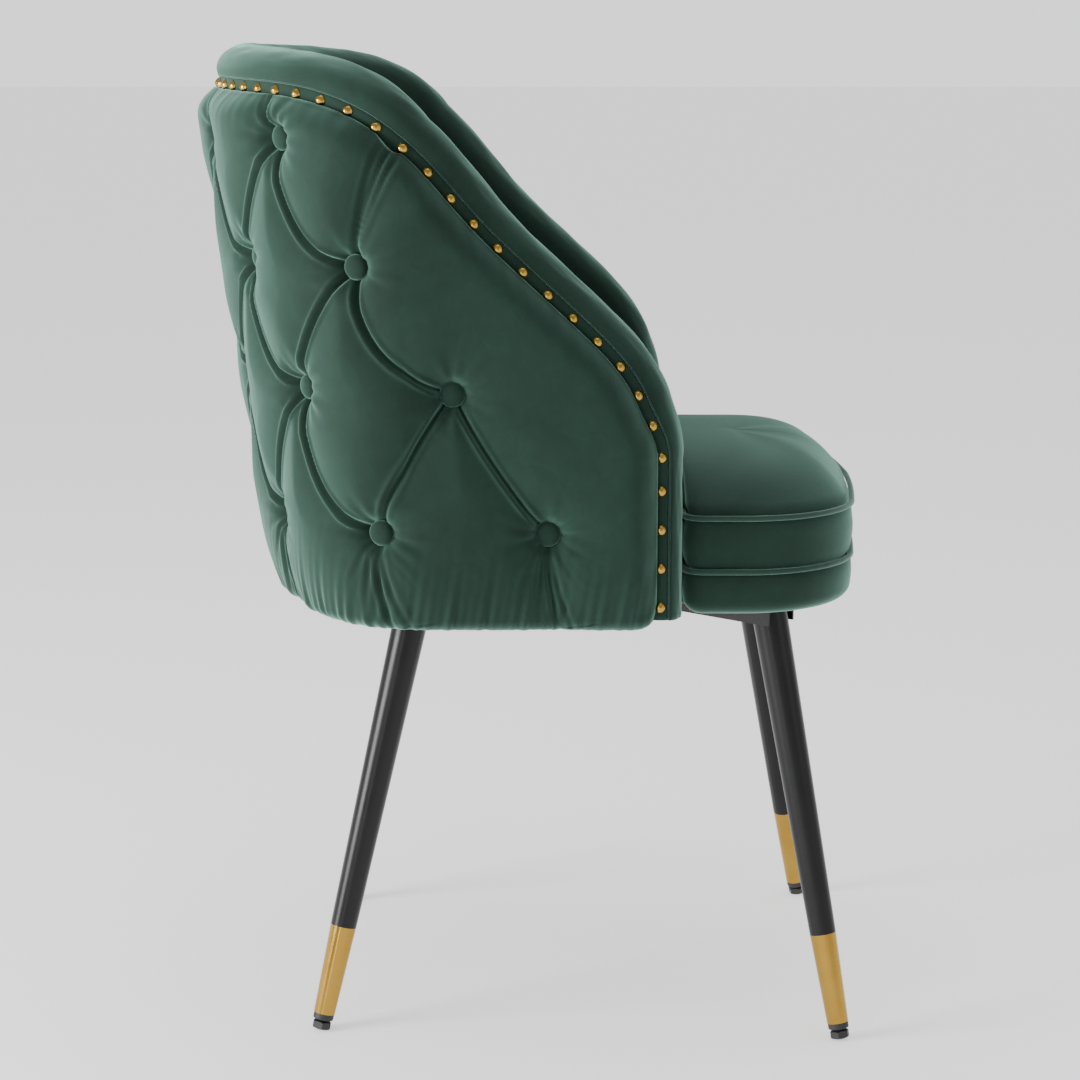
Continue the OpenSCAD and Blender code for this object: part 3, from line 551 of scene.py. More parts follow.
def fold_list():
    """Folds of one half: (path, depth, lip share, share of the depth left at the far end)."""
    folds = []
    for (z0, row0), (z1, row1) in zip(BUTTON_ROWS[:-1], BUTTON_ROWS[1:]):
        for k0 in row0:
            for k1 in row1:
                if abs(abs(k0 - k1) - 0.5) < 0.01:
                    bow = (-0.014, 0.006)
                    if k1 > k0:
                        bow = (-0.006, -0.008) if k1 == BUTTON_ROWS[-1][1][-1] else (-0.034, -0.034)
                    path = fold_path((k0 * BUTTON_PITCH, z0), (k1 * BUTTON_PITCH, z1), np.array(bow))
                    folds.append((path, FOLD_DEPTH, 1.0, 1.0))
    # Pleats up to the nail line: place, row, run, depth, lip share, share left at the far end
    top, upper, middle, low = (z for z, _ in BUTTON_ROWS)
    pleats = [(0.5, top, (-0.008, 0.048), 0.013, 1.0, 1.0),
              (1.5, top, (-0.014, 0.045), 0.013, 1.0, 1.0),
              (0.5, top, (-0.015, 0.047), 0.008, 0.7, 0.8),
              (1.5, top, (-0.021, 0.044), 0.008, 0.7, 0.8),
              (2, upper, (0.043, 0.108), 0.012, 1.0, 0.85),
              (2, upper, (0.020, 0.085), 0.005, 0.2, 0.3),
              (2, upper, (0.035, 0.106), 0.009, 0.9, 0.7),
              (2, upper, (0.052, 0.106), 0.008, 0.7, 0.6),
              (2.5, middle, (0.020, 0.075), 0.0045, 0.0, 0.0),
              (2.5, middle, (0.048, 0.060), 0.0035, 0.0, 0.0),
              (2.5, middle, (0.070, 0.016), 0.0030, 0.0, 0.0),
              (3, low, (0.055, 0.030), 0.0030, 0.0, 0.0),
              (3, low, (0.060, -0.030), 0.0035, 0.0, 0.0)]
    # Pleats that fan down to the lower edge
    drop = BOTTOM_Z - low + 0.002
    for k in BUTTON_ROWS[-1][1]:
        pleats += [(k, low, (0.003, drop), 0.013, 0.8, 0.8),
                   (k, low, (-0.032, drop * 0.8), 0.0055, 0.3, 0.0),
                   (k, low, (0.015, drop), 0.0090, 0.7, 0.6),
                   (k, low, (-0.014, drop), 0.0065, 0.5, 0.5),
                   (k, low, (0.034, drop * 0.7), 0.0040, 0.2, 0.0)]
    for k, z, run, depth, lip, left in pleats:
        start = np.array([k * BUTTON_PITCH, z])
        path = fold_path(start, start + run, np.array((-0.006, 0.0)))
        folds.append((path, depth, lip, left))
    return folds


def fold_profile(s, z, path, depth, lip_share, left):
    """What one fold does at each point: its valley, its rolled lips and its sharp crease."""
    d, t, side = polyline_distance(s, z, path)
    rear = side < 0
    between = left == 1.0 and depth == FOLD_DEPTH
    ends = np.minimum(t, 1 - t) if between else t
    taper = 1.0 if between else 1 - (1 - left) * smooth(t)
    strength = (depth + (BUTTON_DEPTH - depth) * (1 - smooth(ends / 0.24))) * taper
    beyond = np.where((t > 0.999) & (not between), smooth(1 - d / 0.02), 1.0)
    wide = 0.018 + depth * 2.2
    if between:
        wide = np.where(rear, FOLD_REAR_W, FOLD_FRONT_W) * (0.62 + 0.38 * smooth(ends / 0.30))
    valley = strength * beyond * np.clip(1 - d / wide, 0, 1) ** 2
    # The crease is doubled: a rolled lip on the rear side, a lower one on the front side
    grow = lip_share * smooth(ends / 0.16) * taper * beyond
    high = np.where(rear, LIP_REAR, LIP_FRONT)
    lip = grow * high * np.exp(-((d - LIP_PLACE) / LIP_W) ** 2)
    crease = CREASE * np.exp(-(d / CREASE_W) ** 2) * min(1.0, lip_share + 0.1) * taper * beyond
    return valley, lip, crease


def pocket_profile(s, z, k, row_z):
    """The well round one button, and the fine creases that spread from it."""
    ds, dz = s - k * BUTTON_PITCH, z - row_z
    r = np.hypot(ds, dz)
    turn = np.arctan2(dz, ds) / (2 * np.pi)
    well = 0.42 * np.exp(-(r / 0.0135) ** 4) + 0.58 * np.exp(-(r / 0.032) ** 1.5)
    seed = int(row_z * 1000 + k * 10)
    rays = 0.0012 * np.exp(-((r - 0.022) / 0.014) ** 2) * wave(turn, seed, (1 / 7, 1 / 11, 1 / 13))
    return BUTTON_DEPTH * well, rays


def tuft_depth(s, z):
    """How far the cover lies below the full pad at a point of one half, with its folds and lips."""
    # Where folds and wells meet, a high power lets the deeper one win with a soft change-over
    power = 5
    sink = np.zeros_like(s)
    lips = np.zeros_like(s)
    creases = np.zeros_like(s)
    for fold in fold_list():
        valley, lip, crease = fold_profile(s, z, *fold)
        sink += valley ** power
        lips = np.maximum(lips, lip)
        creases = np.maximum(creases, crease)
    for row_z, row in BUTTON_ROWS:
        for k in row:
            well, rays = pocket_profile(s, z, k, row_z)
            sink += well ** power
            lips += rays
    return sink ** (1 / power) - lips + creases


def nail_path_flat():
    """The nail line of one half, laid flat as distance along the back and height."""
    low = np.stack([np.full(20, WING_Y), np.linspace(BOTTOM_Z, WING_Z, 20)], 1)
    straight = np.concatenate([low, EDGE[EDGE[:, 0] < CURVE_Y]])
    quarter = arc_at(np.full(len(straight), ANGLES[-1]), straight[:, 1])
    straight = np.stack([quarter + CURVE_Y - straight[:, 0], straight[:, 1]], 1)
    cols = np.linspace(QUARTER, 0, 60)
    z = nail_height(cols)
    return np.concatenate([straight, np.stack([along(cols, z), z], 1)])


def mirrored(cols, half):
    """Values worked out for the right half's columns, repeated on the left."""
    whole = np.zeros((len(cols), half.shape[1]))
    whole[cols >= 0] = half
    whole[cols < 0] = half[1:][::-1]
    return whole


def pad_height(base, s, z, low, sink, edge):
    """Height of the buttoned cover over the back at each point of the pad."""
    roll = 1 - (1 - np.clip(edge / PAD_ROLL_W, 0, 1)) ** 3.4
    under = 0.5 + 0.5 * (1 - (1 - np.clip(low / PAD_UNDER_H, 0, 1)) ** 2.2)
    full = PAD_RIM + (PAD_BULGE - PAD_RIM) * roll * under
    spots, _ = nail_places()
    for spot in spots:
        near = np.exp(-(((base - spot) ** 2).sum(-1)) / NAIL_DIMPLE_W ** 2)
        full -= NAIL_DIMPLE * near * smooth(edge / 0.006)
    # Gathers along the nail line and along the lower edge, and broad unevenness of the filling
    fade = np.exp(-(edge / 0.018) ** 1.5) * smooth(edge / 0.004)
    gather = 0.0006 * wave(s, 3, (0.021, 0.034, 0.013)) * fade
    gather += 0.0021 * wave(s + 0.25 * low, 5, (0.009, 0.013, 0.021)) * np.exp(-(low / 0.030) ** 1.3)
    broad = 0.0008 * wave(s + 0.6 * z, 8, (0.12, 0.19)) * wave(z, 9, (0.09, 0.16))
    room = np.clip(roll * under, 0.08, 1)
    height = full - sink * room + gather + broad
    curl = np.clip((PAD_UNDER_R - low) / PAD_UNDER_R, 0, 1)
    round_under = PAD_UNDER_R * (1 - np.sqrt(1 - curl ** 2))
    return np.maximum(height - round_under, -0.002)


def outer_pad():
    """The buttoned pad, worked out on its right half and mirrored, with a plain backing."""
    last = QUARTER + CURVE_Y - (WING_Y + PAD_EDGE)
    half = np.linspace(0, last, int(last / CELL))
    cols = np.r_[-half[:0:-1], half]
    top = edge_height(cols, -PAD_EDGE)
    top = np.where(np.abs(cols) > last - 1e-6, WING_Z, top)
    turned_up = np.clip(1 - (last - np.abs(cols)) / PAD_CORNER, 0, 1)
    bottom = BOTTOM_Z + 0.8 * PAD_CORNER * (1 - np.sqrt(1 - turned_up ** 2))
    share = np.linspace(0, 1, int((BACK_Z - BOTTOM_Z) / CELL))
    z = bottom[:, None] + (top - bottom)[:, None] * share[None, :]
    base = back_point(cols[:, None] + 0 * z, z)
    s = along(cols[:, None] + 0 * z, z)

    right = cols >= 0
    sink = mirrored(cols, tuft_depth(s[right], z[right]))
    edge = mirrored(cols, polyline_distance(s[right], z[right], nail_path_flat())[0])
    height = pad_height(base, s, z, z - bottom[:, None], sink, edge)
    outer = base + sheet_normals(base) * height[..., None]

    share = np.linspace(1, 0, 6)
    z = bottom[:, None] + 0.0005 + (top - bottom - 0.001)[:, None] * share[None, :]
    backing = back_point(cols[:, None] + 0 * z, z, -PAD_BACKING)
    rings = np.concatenate([outer, backing], 1)
    obj = add_object("outer_back_cover", loft("outer_back_cover", rings))
    place(obj, "velvet", "outer_back_pad", fill=0.8)


def button_frames():
    """Centre and outward direction of every button, at the bottom of its pocket."""
    out = []
    for z, row in BUTTON_ROWS:
        for k in row:
            for side in ((1, -1) if k else (1,)):
                col = column_for(side * k * BUTTON_PITCH, z)
                e = 0.004
                grid = back_point(col + np.array([[-e], [0], [e]]), z + np.array([[-e, 0, e]]))
                n = sheet_normals(grid)[1, 1]
                out.append((grid[1, 1] + n * (PAD_BULGE - BUTTON_SINK), n))
    return out


# ---------------------------------------------------------------- trim by geometry nodes
def dome_object(name, profile, turns=28):
    """A turned shape round +Z from (radius, height) points; a tiny flat closes it at each end."""
    a = np.linspace(0, 2 * np.pi, turns, endpoint=False)
    rings = []
    for r, h in profile:
        r = max(r, POLE)
        rings.append(np.stack([r * np.cos(a), r * np.sin(a), np.full(turns, h)], 1))
    return add_object(name, loft(name, np.array(rings)[:, ::-1]))


def scatter_tree(name, finish):
    """Puts a shape on every point, turned to the point's facing, with a little seeded variation."""
    tree = bpy.data.node_groups.new(name, "GeometryNodeTree")
    face = tree.interface
    face.new_socket("Geometry", in_out="INPUT", socket_type="NodeSocketGeometry")
    face.new_socket("Shape", in_out="INPUT", socket_type="NodeSocketObject")
    size = face.new_socket("Size spread", in_out="INPUT", socket_type="NodeSocketFloat")
    tilt = face.new_socket("Tilt spread", in_out="INPUT", socket_type="NodeSocketFloat")
    seed = face.new_socket("Seed", in_out="INPUT", socket_type="NodeSocketInt")
    size.default_value, tilt.default_value, seed.default_value = 0.02, 0.04, 11
    face.new_socket("Geometry", in_out="OUTPUT", socket_type="NodeSocketGeometry")
    add = tree.nodes.new
    link = tree.links.new
    start, end = add("NodeGroupInput"), add("NodeGroupOutput")
    facing = add("GeometryNodeInputNamedAttribute")
    facing.data_type = "FLOAT_VECTOR"
    facing.inputs["Name"].default_value = "facing"
    turn = add("FunctionNodeAlignRotationToVector")
    turn.axis = "Z"
    link(facing.outputs["Attribute"], turn.inputs["Vector"])
    shape = add("GeometryNodeObjectInfo")
    link(start.outputs["Shape"], shape.inputs["Object"])
    low = add("ShaderNodeMath")
    low.operation = "SUBTRACT"
    low.inputs[0].default_value = 1.0
    link(start.outputs["Size spread"], low.inputs[1])
    scale = add("FunctionNodeRandomValue")
    # Sockets 2 and 3 are the least and the most of the plain-number kind
    link(low.outputs[0], scale.inputs[2])
    scale.inputs[3].default_value = 1.0
    link(start.outputs["Seed"], scale.inputs["Seed"])
    lean = add("FunctionNodeRandomValue")
    lean.data_type = "FLOAT_VECTOR"
    down = add("ShaderNodeMath")
    down.operation = "MULTIPLY"
    down.inputs[1].default_value = -1.0
    link(start.outputs["Tilt spread"], down.inputs[0])
    link(down.outputs[0], lean.inputs[0])
    link(start.outputs["Tilt spread"], lean.inputs[1])
    link(start.outputs["Seed"], lean.inputs["Seed"])
    spin = add("FunctionNodeRotateRotation")
    spin.rotation_space = "LOCAL"
    to_turn = add("FunctionNodeEulerToRotation")
    link(lean.outputs[0], to_turn.inputs[0])
    link(turn.outputs["Rotation"], spin.inputs["Rotation"])
    link(to_turn.outputs["Rotation"], spin.inputs["Rotate By"])
    put = add("GeometryNodeInstanceOnPoints")
    link(start.outputs["Geometry"], put.inputs["Points"])
    link(shape.outputs["Geometry"], put.inputs["Instance"])
    link(spin.outputs["Rotation"], put.inputs["Rotation"])
    link(scale.outputs[1], put.inputs["Scale"])
    real = add("GeometryNodeRealizeInstances")
    link(put.outputs["Instances"], real.inputs["Geometry"])
    paint = add("GeometryNodeSetMaterial")
    paint.inputs["Material"].default_value = finish
    link(real.outputs["Geometry"], paint.inputs["Geometry"])
    link(paint.outputs["Geometry"], end.inputs["Geometry"])
    return tree


def scatter(name, shape, points, directions, finish):
    """One plain mesh of the shape repeated at the points."""
    mesh = bpy.data.meshes.new(name + "_points")
    mesh.from_pydata([tuple(p) for p in points], [], [])
    layer = mesh.attributes.new("facing", "FLOAT_VECTOR", "POINT")
    layer.data.foreach_set("vector", np.asarray(directions, float).ravel())
    carrier = add_object(name + "_points", mesh)
    tree = scatter_tree(name + "_layout", finish)
    mod = carrier.modifiers.new("layout", "NODES")
    mod.node_group = tree
    for item in tree.interface.items_tree:
        if item.name == "Shape" and item.in_out == "INPUT":
            mod[item.identifier] = shape
    graph = bpy.context.evaluated_depsgraph_get()
    result = bpy.data.meshes.new_from_object(carrier.evaluated_get(graph))
    bpy.data.objects.remove(carrier)
    bpy.data.objects.remove(shape)
    obj = add_object(name, result)
    result.polygons.foreach_set("use_smooth", [True] * len(result.polygons))
    return obj


def buttons():
    """Cloth-covered buttons at the bottoms of their pockets."""
    r = BUTTON_D / 2
    profile = [(0.0, -0.0035), (r * 0.9, -0.0035), (r * 0.99, -0.0022), (r, -0.0010), (r * 0.98, 0.0004),
               (r * 0.90, 0.0019), (r * 0.76, 0.0032), (r * 0.55, 0.0042), (r * 0.28, 0.0048), (0.0, 0.0050)]
    shape = dome_object("button_shape", profile, turns=36)
    frames = button_frames()
    obj = scatter("covered_buttons", shape, [p + n * 0.0005 for p, n in frames], [n for _, n in frames],
                  VELVET)
    place(obj, "velvet", "tuft_buttons")


# ---------------------------------------------------------------- rim
def rim_path(step=RIM_STEP):
    """Points of the nail line over the whole back, evenly spaced, with their directions."""
    low = np.stack([np.full(40, HALF_W), np.full(40, WING_Y),
                    np.linspace(RIM_BOTTOM_Z, WING_Z, 40, endpoint=False)], 1)
    side = EDGE[EDGE[:, 0] < CURVE_Y - 0.002]
    side = np.stack([np.full(len(side), HALF_W), side[:, 0], side[:, 1]], 1)
    cols = np.linspace(QUARTER, 0, 160)
    turn = back_point(cols, nail_height(cols))
    half = np.concatenate([low, side, turn])
    half[-1, 0] = 0.0
    path = np.concatenate([half, half[-2::-1] * [-1, 1, 1]])
    lengths = np.r_[0, np.cumsum(np.linalg.norm(np.diff(path, axis=0), axis=1))]
    even = np.linspace(0, lengths[-1], int(lengths[-1] / step) | 1)
    path = np.stack([np.interp(even, lengths, path[:, k]) for k in range(3)], 1)
    return path, even


def rim_frames(path):
    """Outward, lengthways and upward directions along the nail line."""
    turned = path[:, 1] > CURVE_Y
    c = np.clip((path[:, 1] - CURVE_Y) / reach(path[:, 2]), 0, 1)
    share = path[:, 0] / HALF_W
    g = np.stack([np.sign(path[:, 0]) * np.abs(share) ** (PLAN_POWER - 1) / HALF_W,
                  c ** (PLAN_POWER - 1) / reach(path[:, 2])], 1)
    g = unit(g)
    normal = np.stack([g[:, 0], g[:, 1], -g[:, 1] * LEAN * c], 1)
    normal = unit(np.where(turned[:, None], normal, np.stack([np.sign(share), 0 * c, 0 * c], 1)))
    tangent = unit(np.gradient(path, axis=0))
    up = unit(np.cross(normal, tangent))
    return normal, tangent, up


def crest_rise(path):
    """How far the roll stands beyond the nail line: low on the wings, higher over the back."""
    z = path[:, 2]
    return RIM_FRONT + (RIM_RISE - RIM_FRONT) * (0.6 * smooth((z - WING_Z + 0.010) / 0.060)
                                                 + 0.4 * smooth((z - WING_Z - 0.130) / 0.120))


def rim_band():
    """The padded roll: a nail strip, the roll over the crest, and the tail behind the inner pad."""
    path, _ = rim_path()
    normal, _, up = rim_frames(path)
    rise = crest_rise(path)
    flank = rise * 0.34
    even = np.arange(len(path)) * RIM_STEP
    rings = []
    # Points are (distance up from the nail line, distance out)
    strip = [(-0.0060, -0.0034), (-0.0058, -0.0004), (-0.0030, 0.0006), (0.0, 0.0008), (0.0030, 0.0007),
             (0.0052, 0.0003), (0.0064, -0.0010), (0.0072, 0.0001), (0.0084, 0.0009)]
    for e, off in strip:
        rings.append(path + up * e + normal * off)
    puff = 0.0016
    for a in np.linspace(0, np.pi, 22)[1:]:
        e = flank + (rise - flank) * np.sin(a)
        off = -RIM_W / 2 + (RIM_W / 2 + puff) * np.cos(a)
        # Neighbouring rings share a ripple, so it runs over the roll
        ripple = 0.0006 * wave(even, int(a * 50) // 12 + 20, (0.045, 0.081, 0.13))
        rings.append(path + up * (e + ripple)[:, None] + normal * off)
    inner = [(-0.004, -RIM_W - 0.0022), (-0.0105, -RIM_W - 0.0006), (-0.0115, -RIM_W + 0.006),
             (-0.0115, PLY_IN - 0.0005), (-0.0118, PLY_IN + 0.004), (-0.009, -0.006)]
    for e, off in inner:
        rings.append(path + up * e + normal * off)
    obj = add_object("rim_cover", loft("rim_cover", np.stack(rings, 1)))
    place(obj, "velvet", "rim_band", fill=0.9)


def tube(name, path, up, side, radius, turns, closed=False):
    """A round cord along a path; radius is one number or one per point."""
    a = np.linspace(0, 2 * np.pi, turns, endpoint=False)
    radius = np.broadcast_to(radius, len(path))[:, None, None]
    rings = path[:, None, :] + radius * (np.cos(a)[None, :, None] * side[:, None, :]
                                         + np.sin(a)[None, :, None] * up[:, None, :])
    return add_object(name, loft(name, rings, closed_path=closed))


def rim_welt():
    """The thin seam above the nails."""
    path, _ = rim_path(0.003)
    normal, _, up = rim_frames(path)
    line = path + up * 0.0072 + normal * 0.0004
    obj = tube("rim_welt_cord", line, up, normal, 0.0007, turns=8)
    place(obj, "velvet_piping", "rim_welt")


def nail_places():
    """Points of the nails and their outward directions."""
    path, even = rim_path(0.0015)
    normal, _, _ = rim_frames(path)
    half = even[-1] / 2
    low_count = int((WING_Z - RIM_BOTTOM_Z - NAIL_LOW_Z) / NAIL_PITCH_LOW) + 1
    start = NAIL_LOW_Z + (low_count - 1) * NAIL_PITCH_LOW
    count = round((half - start) / NAIL_PITCH)
    places = [NAIL_LOW_Z + k * NAIL_PITCH_LOW for k in range(low_count)]
    places += [start + (k + 1) * (half - start) / count for k in range(count)]
    places += [2 * half - p for p in places[:-1]]
    at = lambda table: np.stack([np.interp(places, even, table[:, k]) for k in range(3)], 1)
    return at(path), unit(at(normal))


def nails():
    """Domed nailheads with a narrow rim, one at each place along the nail line."""
    r = NAIL_D / 2
    profile = [(0.0, -0.002), (r * 0.92, -0.002), (r * 0.985, 0.0), (r, 0.0004), (r * 0.98, 0.0008)]
    ball = (r ** 2 + NAIL_H ** 2) / (2 * NAIL_H)
    low = math.acos(1 - (NAIL_H - 0.0011) / ball)
    for a in np.linspace(low, 0, 9):
        profile.append((ball * math.sin(a) * 0.98, NAIL_H - ball * (1 - math.cos(a))))
    shape = dome_object("nail_shape", profile, turns=24)
    spots, directions = nail_places()
    obj = scatter("nailhead_trim", shape, spots + directions * 0.0006, directions, NAIL_GOLD)
    place(obj, "antique_gold", "nailheads")


# ---------------------------------------------------------------- inner pad
def inner_pad():
    """The smooth pad inside the back, crowned and drawn in along its edges."""
    front = WING_Y + INNER_EDGE
    last = QUARTER + CURVE_Y - front
    half = np.linspace(0, last, 130)
    cols = np.r_[-half[:0:-1], half]
    top = edge_height(cols, -INNER_EDGE + 0.0006)
    bottom = SEAT_Z + 0.018
    v = np.linspace(0, 1, 90)
    z = bottom + (top - bottom)[:, None] * v[None, :]
    c = cols[:, None] + 0 * z
    forward = np.clip((np.abs(c) - QUARTER) / (last - QUARTER), 0, 1)
    height = smooth(v * 2.5)[None, :] * (1 - v[None, :] ** 6)
    crown = 0.010 * height * (1 - 0.8 * forward ** 1.5)
    sides = 0.0030 * np.exp(-((last - np.abs(c)) / 0.012) ** 2)
    off = PLY_IN - 0.030 - crown + sides + 0.0007 * wave(c + 0.3 * z, 31, (0.09, 0.16))
    inner = back_point(c, z, off)
    zb = bottom + (top - bottom)[:, None] * np.linspace(1, 0, 8)[None, :]
    backing = back_point(cols[:, None] + 0 * zb, zb, PLY_IN - 0.0005)
    rings = np.concatenate([backing[:, ::-1], inner[:, ::-1]], 1)
    obj = add_object("inner_back_cover", loft("inner_back_cover", rings))
    place(obj, "velvet", "inner_back_pad", fill=0.75)


# ---------------------------------------------------------------- seat
def corner(a, b, c, r, count):
    """Points of the arc of radius r that rounds the corner a, b, c."""
    a, b, c = (np.array(p, float) for p in (a, b, c))
    u, v = unit(a - b), unit(c - b)
    half = math.acos(float(u @ v)) / 2
    centre = b + unit(u + v) * r / math.sin(half)
    start = b + u * r / math.tan(half) - centre
    a0 = math.atan2(start[1], start[0])
    sweep = (math.pi - 2 * half) * (-1 if u[0] * v[1] - u[1] * v[0] > 0 else 1)
    t = a0 + sweep * np.linspace(0, 1, count)
    return centre + r * np.stack([np.cos(t), np.sin(t)], 1)


def seat_plan():
    """Outline of the seat, anticlockwise from the middle of the front."""
    ear, neck, front = SEAT_HALF_W, NECK_HALF_W, SEAT_FRONT_Y
    front_corner = corner((0, front), (ear, front + FRONT_BOW), (ear, EAR_Y), CORNER_R, 30)
    ear_corner = corner((ear, front), (ear, EAR_Y), (neck, EAR_Y), EAR_R, 9)
    neck_corner = corner((ear, EAR_Y), (neck, EAR_Y), (neck, CURVE_Y), NECK_R, 7)
    a = np.linspace(np.pi / 2, 0, 40)
    depth = reach(BAND_TOP_Z) - SEAT_REAR_GAP
    end = np.stack([neck * plan_s(a), CURVE_Y + depth * plan_c(a)], 1)
    t = np.linspace(0, 1, 12)[:, None]
    lead = np.array([[0.0, front - FRONT_SAG]]) * (1 - t) + front_corner[:1] * t
    lead[:, 1] -= FRONT_SAG * np.sin(np.pi * t[:, 0])
    right = np.concatenate([lead[:-1], front_corner, ear_corner, neck_corner, end])
    return np.concatenate([right, right[-2:0:-1] * [-1, 1]])


def even_loop(loop, count):
    """The loop with its points evenly spaced, and their distances along it."""
    closed = np.concatenate([loop, loop[:1]])
    lengths = np.r_[0, np.cumsum(np.linalg.norm(np.diff(closed, axis=0), axis=1))]
    even = np.linspace(0, lengths[-1], count, endpoint=False)
    return np.stack([np.interp(even, lengths, closed[:, k]) for k in range(2)], 1), even


def loop_normals(loop):
    """Outward directions of a flat anticlockwise loop."""
    t = np.roll(loop, -1, 0) - np.roll(loop, 1, 0)
    return unit(np.stack([t[:, 1], -t[:, 0]], 1))


PLAN, PLAN_S = even_loop(seat_plan(), SEAT_COUNT)
PLAN_N = loop_normals(PLAN)


def seat_ring(out, z):
    """A ring of the seat: out is the distance beyond the outline, per point or for all."""
    xy = PLAN + PLAN_N * np.reshape(out, (-1, 1))
    return np.concatenate([xy, np.broadcast_to(np.reshape(z, (-1, 1)), (len(xy), 1))], 1)


def shrink(ring, t):
    """Draws a ring towards a line down the seat's middle."""
    ys = np.clip(ring[:, 1], *SEAT_SPINE)
    out = ring.copy()
    out[:, 0] = ring[:, 0] * t
    out[:, 1] = ys + (ring[:, 1] - ys) * t
    return out


def seat_cushion():
    """Sides that draw in at both seams, then a crown that closes on the seat's middle line."""
    rings = []
    low, high = BAND_TOP_Z + 0.0006, CUSHION_TOP_Z
    side_h = high - low
    for t in np.linspace(0, 1, 14):
        bulge = 0.0024 * math.sin(math.pi * t) - 0.0030 * (abs(2 * t - 1) ** 8)
        drape = 0.0005 * wave(PLAN_S, 41 + int(t * 3), (0.11, 0.19)) * math.sin(math.pi * t)
        rings.append(seat_ring(bulge + drape - 0.0006, low + side_h * t))
    shoulder = seat_ring(-0.0012, high)
    for t in np.linspace(1, 0.0, 34)[1:]:
        ring = shrink(shoulder, t)
        puff = CROWN * (1 - t ** 4.2)
        ring[:, 2] = high + 0.0015 + puff + 0.0010 * wave(PLAN_S, 51, (0.16, 0.31)) * (t * (1 - t)) * 4
        rings.append(ring)
    rings.insert(0, shrink(rings[0], 0.02))
    obj = add_object("seat_cushion_cover", loft("seat_cushion_cover", np.array(rings)[:, ::-1]))
    weld(obj, 0.0003)
    swell(obj, held=lambda co: co[:, 2] < CUSHION_TOP_Z + 0.001)
    place(obj, "velvet", "seat_cushion", fill=0.85)


def seat_band():
    """The platform: a lip underneath, a rounded lower edge, and sides up to the seam."""
    top = BAND_TOP_Z - 0.0004
    r = BAND_EDGE_R
    inner = seat_ring(-BAND_LIP, SEAT_Z + 0.0035)
    rings = [shrink(inner, 0.02), inner, seat_ring(-BAND_LIP, SEAT_Z)]
    for a in np.linspace(0, np.pi / 2, 9):
        out = -r * (1 - math.sin(a)) + 0.0010 * math.sin(a)
        rings.append(seat_ring(out, SEAT_Z + r * (1 - math.cos(a))))
    for t in np.linspace(0, 1, 9)[1:]:
        rings.append(seat_ring(0.0012 * math.sin(math.pi * t) + 0.001 * (1 - t) - 0.0030 * t ** 8,
                               SEAT_Z + r + (top - SEAT_Z - r) * t))
    rings.append(shrink(rings[-1], 0.9))
    rings.append(shrink(rings[-1], 0.02))
    obj = add_object("seat_band_cover", loft("seat_band_cover", np.array(rings)[:, ::-1]))
    place(obj, "velvet", "seat_band", fill=0.8)


def piping(name, z, node):
    """A corded seam round the seat at height z."""
    path = seat_ring(0.0010, z)
    side = np.concatenate([PLAN_N, np.zeros((len(PLAN_N), 1))], 1)
    up = np.broadcast_to([0.0, 0.0, 1.0], side.shape)
    radius = PIPING_R * (1 + 0.02 * wave(PLAN_S, 61, (0.013, 0.021)))
    obj = tube(name, path, up, side, radius, turns=12, closed=True)
    place(obj, "velvet_piping", node)


def weld(obj, distance):
    """Joins points closer than distance and turns all faces outwards."""
    bm = bmesh.new()
    bm.from_mesh(obj.data)
    bmesh.ops.remove_doubles(bm, verts=bm.verts, dist=distance)
    bmesh.ops.recalc_face_normals(bm, faces=bm.faces)
    bm.to_mesh(obj.data)
    bm.free()
    obj.data.polygons.foreach_set("use_smooth", [True] * len(obj.data.polygons))


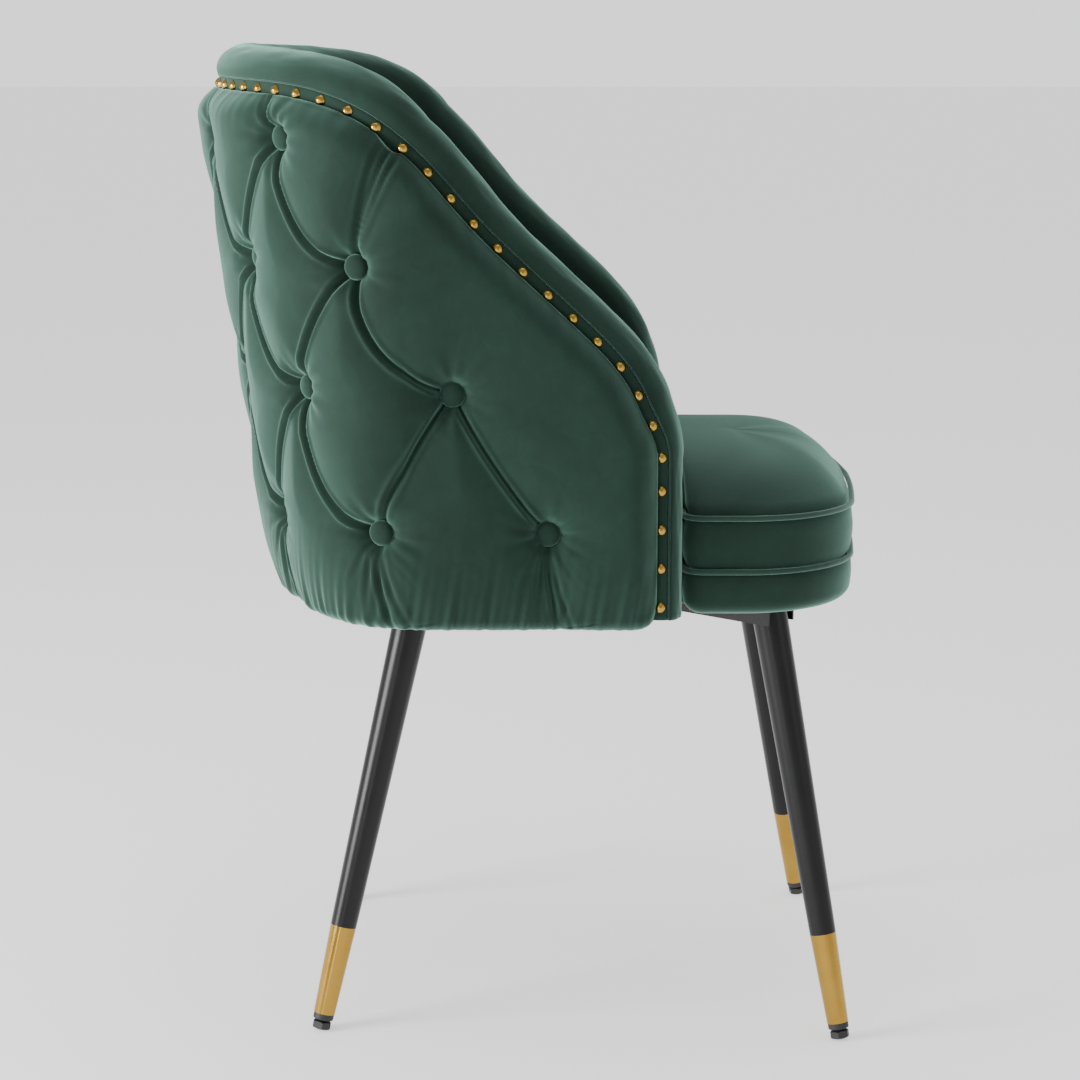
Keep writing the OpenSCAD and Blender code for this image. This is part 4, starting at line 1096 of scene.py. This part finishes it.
def evened(mesh, field, rounds):
    """Averages a vector per point with its neighbours, as foam under the cover irons out creases."""
    pairs = np.zeros(len(mesh.edges) * 2, dtype=np.int64)
    mesh.edges.foreach_get("vertices", pairs)
    a, b = pairs.reshape(-1, 2).T
    near = np.bincount(np.r_[a, b], minlength=len(field))
    still = np.linalg.norm(field, axis=1) < 1e-7
    for _ in range(rounds):
        mean = np.zeros_like(field)
        for k in range(3):
            mean[:, k] = np.bincount(np.r_[a, b], np.r_[field[b, k], field[a, k]], len(field)) / near
        field = 0.4 * field + 0.6 * mean
        field[still] = 0
    return field


def swell(obj, held):
    """Blows the cover up with a short cloth run; held tells which points stay."""
    count = len(obj.data.vertices)
    before = np.zeros(count * 3)
    obj.data.vertices.foreach_get("co", before)
    before = before.reshape(-1, 3)
    pins = obj.vertex_groups.new(name="held")
    pins.add(np.nonzero(held(before))[0].tolist(), 1.0, "REPLACE")
    cloth = obj.modifiers.new("cloth", "CLOTH")
    s = cloth.settings
    s.use_pressure = True
    s.uniform_pressure_force = CLOTH_PRESSURE
    s.vertex_group_mass = "held"
    s.effector_weights.gravity = 0
    s.quality = 5
    s.tension_stiffness = CLOTH_STIFFNESS
    s.compression_stiffness = CLOTH_STIFFNESS
    s.bending_stiffness = CLOTH_BENDING
    s.mass = CLOTH_MASS
    scene = bpy.context.scene
    for f in range(1, CLOTH_FRAMES + 1):
        scene.frame_set(f)
    graph = bpy.context.evaluated_depsgraph_get()
    ev = obj.evaluated_get(graph)
    after = np.zeros(count * 3)
    ev.data.vertices.foreach_get("co", after)
    after = after.reshape(-1, 3)
    move = after - before
    far = np.linalg.norm(move, axis=1, keepdims=True)
    move *= np.minimum(1, SWELL_MOST / np.maximum(far, 1e-9))
    move = evened(obj.data, move, SWELL_EVENING)
    obj.modifiers.remove(cloth)
    obj.vertex_groups.clear()
    obj.data.vertices.foreach_set("co", (before + move).ravel())
    obj.data.update()
    scene.frame_set(1)


# ---------------------------------------------------------------- build
add_camera()
add_floor()
add_lights()
finish_cad_nodes()
outer_pad()
buttons()
rim_band()
rim_welt()
nails()
inner_pad()
seat_cushion()
seat_band()
piping("piping_upper_cord", CUSHION_TOP_Z, "piping_upper")
piping("piping_lower_cord", BAND_TOP_Z, "piping_lower")
